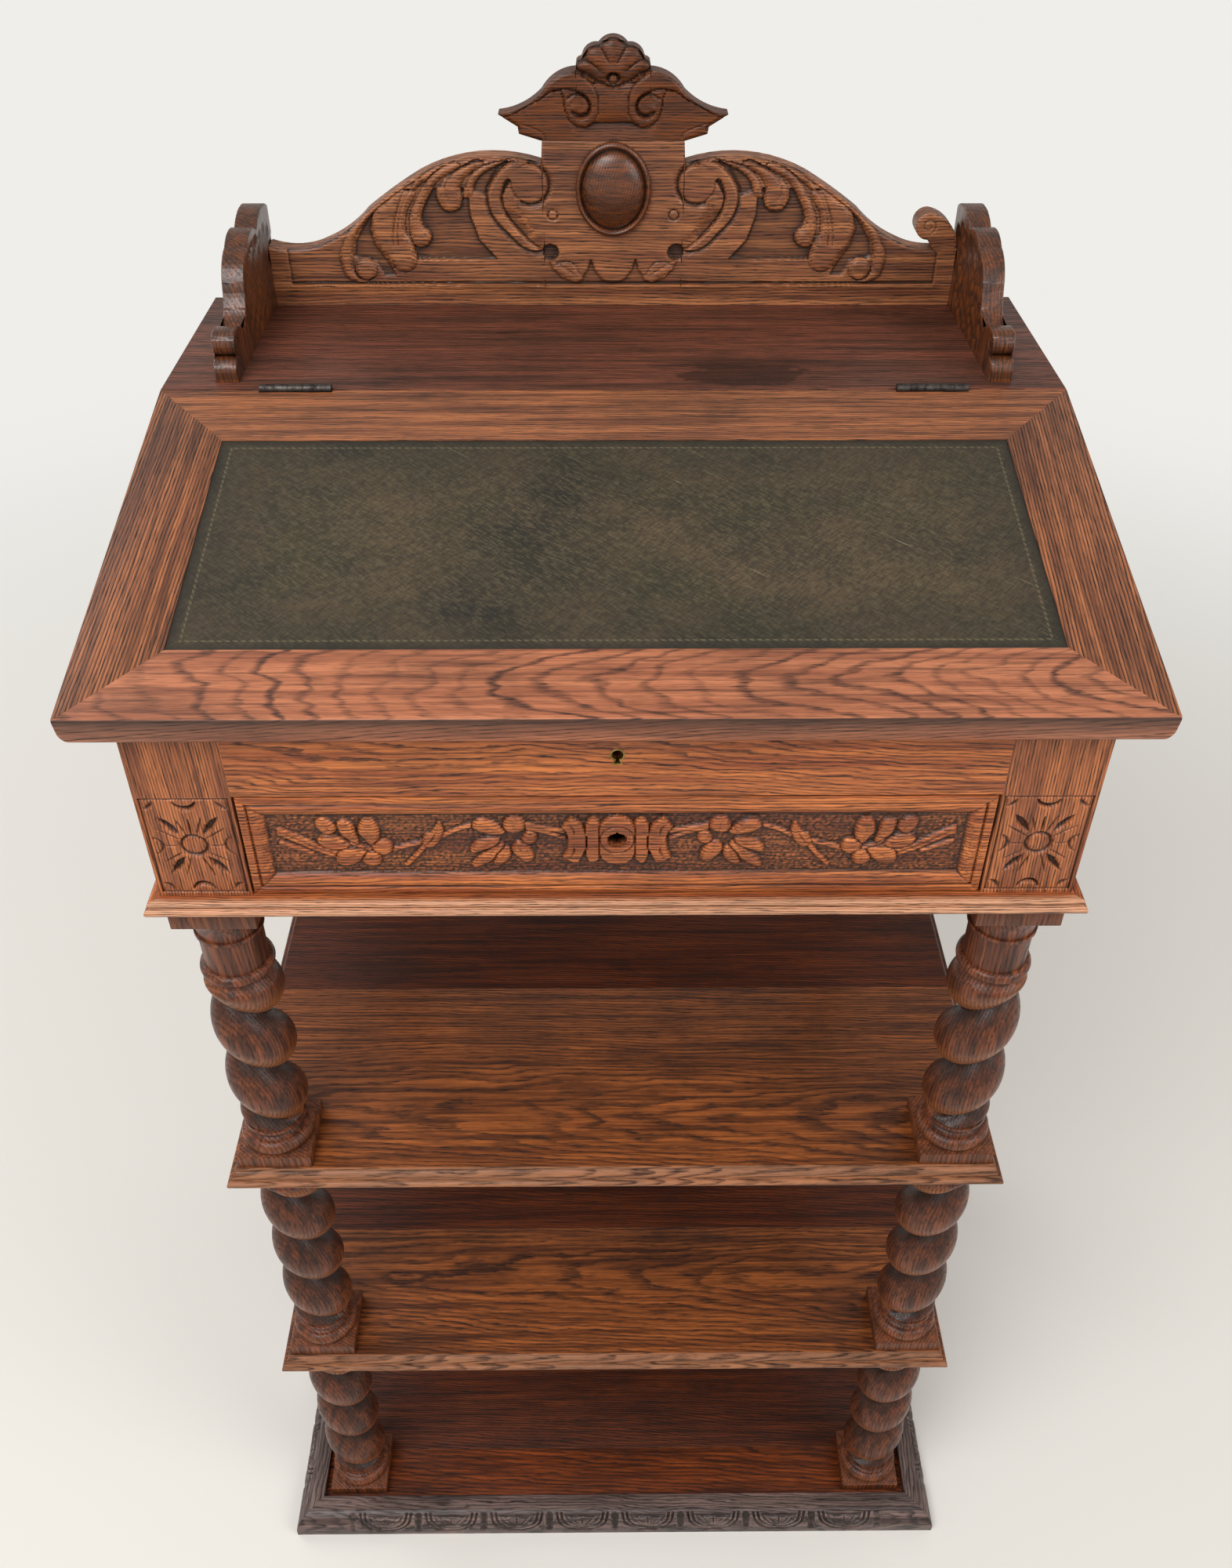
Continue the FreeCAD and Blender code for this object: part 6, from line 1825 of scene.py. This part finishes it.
# ---------------------------------------------------------------------------
# Plain boards
# ---------------------------------------------------------------------------
@dataclass(frozen=True)
class Board:
    """A plain board or moulding: its arrises eased, its oak laid out along it.

    ``ease`` is the breadth of the eased edge. ``nose`` is the relief value of
    the foremost edge, from 0, darkest, to 1: above NEUTRAL it is rubbed
    lighter, below it is drawn darker.
    """

    node: str
    finish: Oak
    slot: str = "case_oak"
    ease: float = 0.9
    nose: float = NEUTRAL
    body: str = "desk"
    arris: float = 0.74
    worn_reach: float = 9.0
    fade: float = 0.8
    crisp: float = 50.0

    def build(self) -> None:
        """Ease the arrises and note where hands have rubbed the board."""
        mesh = bmesh.new()
        mesh.verts.layers.float.new("relief")
        mesh.from_mesh(bpy.data.objects[self.node].data)
        layer = mesh.verts.layers.float["relief"]
        weld(mesh, WELD / 2)
        flat = math.radians(0.6)
        bmesh.ops.dissolve_limit(mesh, angle_limit=flat, verts=mesh.verts, edges=mesh.edges)
        crisp = math.radians(self.crisp)
        sharp = [e for e in mesh.edges if len(e.link_faces) == 2 and e.calc_face_angle(0.0) > crisp]
        rounded = set(ease_edges(mesh, sharp, self.ease)["faces"])
        front = min(vert.co[1] for vert in mesh.verts)
        rubbed = self.nose > NEUTRAL
        reach = self.worn_reach if rubbed else 0.5
        for vert in mesh.verts:
            # The foremost edge takes ``nose``: rubbed lighter above NEUTRAL, drawn darker below it.
            vert[layer] = self.nose if vert.co[1] < front + reach * MM else NEUTRAL
            if vert.link_faces and rounded.issuperset(vert.link_faces):
                vert[layer] = self.arris
        if rubbed:  # A cut just behind the worn strip keeps its wear from running over the whole board.
            before = set(mesh.verts)
            geom = mesh.verts[:] + mesh.edges[:] + mesh.faces[:]
            behind = (0.0, front + (reach + self.fade) * MM, 0.0)
            bmesh.ops.bisect_plane(mesh, geom=geom, plane_co=behind, plane_no=(0.0, 1.0, 0.0))
            for vert in set(mesh.verts) - before:
                vert[layer] = NEUTRAL
        bmesh.ops.triangulate(mesh, faces=[f for f in mesh.faces if len(f.verts) > 4])
        publish(mesh, f"{self.node}_eased", self.body, self.slot, self.finish, [self.node], crease=28.0)


CARVED = oak("carved_waxed_oak", Tone.CARVED, seed=3.1, ring=2.3, pith=(40, 900), lean=(0.4, 1.2), wander=4.0,
             figure=0.6, even=0.8, gloss=0.12)  # fmt: skip
CREST = oak("carved_crest_oak", Tone.CREST, seed=3.7, ring=2.3, pith=(40, 900), lean=(0.4, 1.2), wander=4.0,
            figure=0.55, even=0.8, shine=0.3, gloss=0.12)  # fmt: skip
BOSS = oak("polished_boss_oak", Tone.CREST, seed=4.3, ring=2.2, pith=(226, 1316), lean=(70.0, 4.0), wander=3.0,
           figure=0.5, pores=0.6, grime=0.4, roughness=0.32, gloss=0.4)  # fmt: skip
BRACKET = oak("carved_bracket_oak", Tone.CREST, seed=4.9, grain=Grain.ALONG_Z, ring=3.0, pith=(150, 330), wander=6.0,
              roughness=0.36, gloss=0.35)  # fmt: skip
DRAWER_CARVED = oak("carved_drawer_oak", Tone.FRAME, seed=5.7, ring=2.4, pith=(-300, 820), lean=(0.8, 1.0),
                    wander=6.0, figure=0.75)  # fmt: skip
STILE = oak("case_stile_oak", Tone.STILE, seed=6.9, grain=Grain.ALONG_Z, ring=2.1, pith=(-222, 0), wander=1.6,
            figure=0.7, grime=0.2, even=0.75)  # fmt: skip
RAIL = oak("case_rail_oak", Tone.FRAME, seed=8.2, ring=2.6, pith=(-196, 1108), lean=(1.0, 3.6), wander=8.0,
           spring=0.45, grime=0.25)  # fmt: skip
# Both skirting oaks lighten the carving's crests purple-grey: wear, and partly painted sheen.
SKIRTING = oak("carved_black_oak", Tone.BASE, seed=9.5, ring=3.0, grime=0.5, worn=0.85, rubbed="#9a857c", gloss=0.15,
               roughness=0.38)  # fmt: skip
SKIRTING_SIDE = oak("carved_black_side_oak", Tone.BASE, seed=9.9, grain=Grain.ALONG_Y, ring=3.0, grime=0.5, worn=0.85,
                    rubbed="#9a857c", gloss=0.15, roughness=0.42)  # fmt: skip
# Its rubbed colour paints the light on each bine's lower half, and its hollow share paints the shade above the crest
# and in the grooves.
TURNED = oak("turned_black_oak", Tone.TURNED, seed=10.2, grain=Grain.ALONG_Z, ring=2.8, pith=(120, 60), wander=3.0,
             figure=0.45, pores=0.6, grime=0.2, worn=0.85, rubbed="#955a34", hollow=0.8, shine=0.3, roughness=0.36,
             gloss=0.1)  # fmt: skip


def shelf_boards() -> list[Board]:
    """List the boards of the shelves and the base, and the top shelf.

    Returns:
        The boards, each with oak of its own.
    """
    top = oak("top_board_oak", Tone.TOP, seed=1.3, pith=(300, 1140), wander=5.0, grime=0.6, spot=(104.0, 101.0, 52.0),
              shine=0.3, worn=0.9)  # fmt: skip
    boards = [Board("top_shelf", top, "shelf_oak")]
    # The rear boards take the SHADED tone: painted shade for the shade under the case.
    for name, node, slot, tone, seed, pith, gloss, ease, nose in (
        ("high_shelf_front", "high_shelf_front_board", "shelf_oak", Tone.SHELF, 2.2, (-180, 560), 0.12, 1.2, 0.85),
        ("high_shelf_rear", "high_shelf_rear_board", "shelf_oak", Tone.SHADED, 12.4, (160, 560), 0.06, 0.5, 0.5),
        ("low_shelf_front", "low_shelf_front_board", "shelf_oak", Tone.SHELF, 13.7, (-150, 240), 0.12, 1.2, 0.85),
        ("low_shelf_rear", "low_shelf_rear_board", "shelf_oak", Tone.SHADED, 14.9, (60, 240), 0.06, 0.5, 0.5),
        ("bottom_board_front", "base_board_front", "base_oak", Tone.BOTTOM, 15.2, (-150, -60), 0.08, 0.9, 0.5),
        ("bottom_board_rear", "base_board_rear", "base_oak", Tone.SHADED, 15.9, (40, -60), 0.05, 0.5, 0.5),
    ):
        finish = oak(f"{name}_oak", tone, seed=seed, ring=2.6, pith=pith, wander=5.0, figure=0.7, grime=0.6,
                     gloss=gloss, shine=0.2, worn=0.72, rubbed="#ab7c5e")  # fmt: skip
        boards.append(Board(node, finish, slot, ease, nose))
    return [*boards, Board("base_rear_rail", boards[-1].finish, "base_oak")]


def case_boards() -> list[Board]:
    """List the boards and mouldings of the lid and the case.

    Returns:
        The boards, each with its oak.
    """
    rail = oak("lid_front_rail_oak", Tone.LID_FRONT, seed=16.6, ring=3.4, spring=0.32, pith=(-204, 1014),
               lean=(7.0, 0.6), wander=4.6, even=0.25, figure=0.8, grime=0.4, worn=0.8, rubbed="#d09a78")  # fmt: skip
    hinge_rail = oak("lid_hinge_rail_oak", Tone.LID, seed=17.9, ring=2.2, pith=(-300, 1150), wander=3.0, figure=0.6,
                     grime=0.5)  # fmt: skip
    stile = oak("lid_stile_oak", Tone.LID, seed=18.3, grain=Grain.ALONG_SLOPE, ring=2.5, pith=(0, 1150), wander=1.8,
                even=0.7, figure=1.0, pores=1.0, grime=0.4)  # fmt: skip
    side = oak("case_side_oak", Tone.STILE, seed=19.4, grain=Grain.ALONG_Y, ring=2.4, pith=(250, 1000), wander=3.5,
               figure=0.7)  # fmt: skip
    back = oak("case_back_oak", Tone.STILE, seed=23.3, ring=2.8, pith=(180, 1040), wander=5.0, figure=0.7,
               roughness=0.55, gloss=0.0)  # fmt: skip
    mould = oak("case_moulding_oak", Tone.FRAME, seed=20.8, ring=1.7, pith=(-300, 900), wander=3.0, worn=0.75,
                rubbed="#d9a582", figure=0.7)  # fmt: skip
    mould_side = oak("case_side_moulding_oak", Tone.FRAME, seed=21.1, grain=Grain.ALONG_Y, ring=2.2, pith=(280, 900),
                     figure=0.7)  # fmt: skip
    return [
        # Below NEUTRAL, ``nose`` draws the front faces of the lid's rail and stiles darker.
        Board("lid_rail_front", rail, ease=1.1, nose=0.12, body="lid"),
        Board("lid_rail_rear", hinge_rail, body="lid"),
        *(Board(f"lid_stile_{end.word}", stile, nose=0.4, body="lid") for end in Side),
        *(Board(f"case_side_{end.word}", side) for end in Side),
        Board("case_back", back, "inner_oak"),
        Board("case_top_rail", RAIL, ease=0.6),
        Board("case_moulding_front", mould, ease=0.4, nose=0.95),
        *(Board(f"case_moulding_{end.word}", mould_side, ease=0.4, nose=0.6) for end in Side),
    ]


def dress_rest(done: set[str]) -> None:
    """Finish the solids whose shape is right already.

    Args:
        done: Nodes that a piece of the scene stands for.
    """
    inside = oak("plain_inside_oak", Tone.INSIDE, seed=22.5, pith=(0, 700), roughness=0.62, gloss=0.0,
                 touched=False)  # fmt: skip
    steel = OldMetal("old_lock_steel", "#8b8781", "#57524c", roughness=0.36)
    finishes = (
        ("lid_leather", DeskLeather()),
        ("hinge", OldMetal("oiled_iron", "#5a5450", "#2b2624")),
        ("escutcheon", OldMetal("rubbed_brass", "#a88a4c", "#6a5428", roughness=0.38, patch=3.0)),
        ("lock", steel),
        ("strike", steel),
    )
    carved = ("column_", "skirting_", "gallery_", "case_stile_", "drawer_front")
    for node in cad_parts:
        if node in done or node.startswith(carved):
            continue
        finish = next((made for word, made in finishes if word in node), inside)
        solid = bpy.data.objects[node]
        if not solid.material_slots:
            solid.data.materials.append(None)
        for slot in solid.material_slots:
            slot.material = Cabinet.material(finish)
        log.info("%s: %s", node, finish.name)


# ---------------------------------------------------------------------------
# Studio
# ---------------------------------------------------------------------------
@dataclass
class Studio:
    """Camera, pale floor and soft light.

    ``haze`` is where the floor starts to fade into the backdrop and where it
    is gone, in metres from the middle.
    """

    eye: tuple[float, float, float] = (-7.6, -936.5, 1641.0)
    pitch: float = 0.6876
    yaw: float = 0.0095
    roll: float = 0.0028
    focal_share: float = 0.8803
    sensor: float = 24.0
    clip_end: float = 60.0
    floor_reach: float = 14000.0
    haze: tuple[float, float] = (0.9, 3.2)
    pale: str = "#e9e6e0"
    backdrop: str = "#efeeea"

    def camera(self) -> None:
        """Stand the camera at the height of a person's eyes, looking down."""
        ahead = math.cos(self.pitch)
        forward = Vector((math.sin(self.yaw) * ahead, math.cos(self.yaw) * ahead, -math.sin(self.pitch)))
        level = Vector((math.cos(self.yaw), -math.sin(self.yaw), 0.0))
        above = level.cross(forward)
        right = math.cos(self.roll) * level + math.sin(self.roll) * above
        up = -math.sin(self.roll) * level + math.cos(self.roll) * above
        data = bpy.data.cameras.new("eye")
        data.sensor_fit = "VERTICAL"
        data.sensor_height = self.sensor
        data.lens = self.focal_share * self.sensor
        data.clip_end = self.clip_end
        camera = link("eye", data)
        turn = Matrix((right, up, -forward)).transposed().to_4x4()
        camera.matrix_world = Matrix.Translation(Vector(self.eye) * MM) @ turn
        bpy.context.scene.camera = camera

    def floor(self) -> None:
        """Lay the pale floor."""
        mesh = bmesh.new()
        bmesh.ops.create_grid(mesh, x_segments=1, y_segments=1, size=self.floor_reach * MM)
        floor = link("floor", baked("floor", mesh))
        made, tree, shader = start("pale_plaster_floor")
        feed(shader, {"Base Color": self.pale, "Roughness": 0.8})
        place = add(tree, "TexCoord", out="Object")
        away = add(tree, "VectorMath", {0: place}, out="Value", operation="LENGTH")
        far = add(tree, "MapRange", {0: away, 1: self.haze[0], 2: self.haze[1]}, interpolation_type="SMOOTHSTEP")
        seen = add(tree, "Math", {0: far, 1: self.seen(tree)}, operation="MULTIPLY")
        glow = add(tree, "Emission", {"Color": self.backdrop, "Strength": 1.0})
        both = add(tree, "MixShader", {0: seen, 1: shader.outputs[0], 2: glow})
        feed(tree.nodes["Material Output"], {"Surface": both})
        floor.data.materials.append(made)

    def seen(self, tree: Tree) -> Socket:
        """Tell rays that show the backdrop, straight or mirrored, from those that light.

        Args:
            tree: Node tree that receives the nodes.

        Returns:
            Socket that is 1 for such a ray.
        """
        rays = [add(tree, "LightPath", out=f"Is {kind} Ray") for kind in ("Camera", "Glossy", "Transmission")]
        mirrored = add(tree, "Math", {0: rays[1], 1: rays[2]}, operation="MAXIMUM")
        return add(tree, "Math", {0: rays[0], 1: mirrored}, operation="MAXIMUM")

    def lights(self) -> None:
        """Hang a broad soft lamp over the front, a fainter one at each side."""
        world = bpy.data.worlds.new("studio")
        world.use_nodes = True
        tree = world.node_tree
        feed(tree.nodes["Background"], {"Color": "#ebe8e4", "Strength": 0.62})
        pale = add(tree, "Background", {"Color": self.backdrop, "Strength": 1.0})
        links = {0: add(tree, "LightPath", out="Is Camera Ray"), 1: tree.nodes["Background"].outputs[0], 2: pale}
        feed(tree.nodes["World Output"], {"Surface": add(tree, "MixShader", links)})
        bpy.context.scene.world = world
        for name, place, size, power in (
            ("key", (-900.0, -1500.0, 2900.0), 1800.0, 52.0),
            ("fill", (1600.0, -1200.0, 2000.0), 1500.0, 18.0),
            ("back", (-2400.0, 1300.0, 1900.0), 1600.0, 18.0),
        ):
            data = bpy.data.lights.new(name, "AREA")
            data.shape = "DISK"
            data.size = size * MM
            data.energy = power
            lamp = link(name, data)
            aim = Vector((0.0, 0.0, 800.0)) - Vector(place)
            turn = aim.to_track_quat("-Z", "Y").to_matrix().to_4x4()
            lamp.matrix_world = Matrix.Translation(Vector(place) * MM) @ turn

    def build(self) -> None:
        """Set the whole studio."""
        self.camera()
        self.floor()
        self.lights()
        bpy.context.scene.view_settings.view_transform = "Standard"


def main() -> None:
    """Set the studio, build and dress the desk, and report each piece."""
    logging.basicConfig(level=logging.INFO, format="%(message)s")
    Studio().build()
    boards = shelf_boards() + case_boards()
    for board in boards:
        board.build()
    dress_rest({board.node for board in boards})
    for part in (GalleryBoard(), GalleryCurl(), GalleryCrest(), GalleryBoss(), DrawerFront(), Skirting()):
        part.build()
    for end in Side:
        GalleryBracket(end).build()
        RosetteStile(end).build()
    for column in columns():
        column.build()


if __name__ == "__main__":
    main()
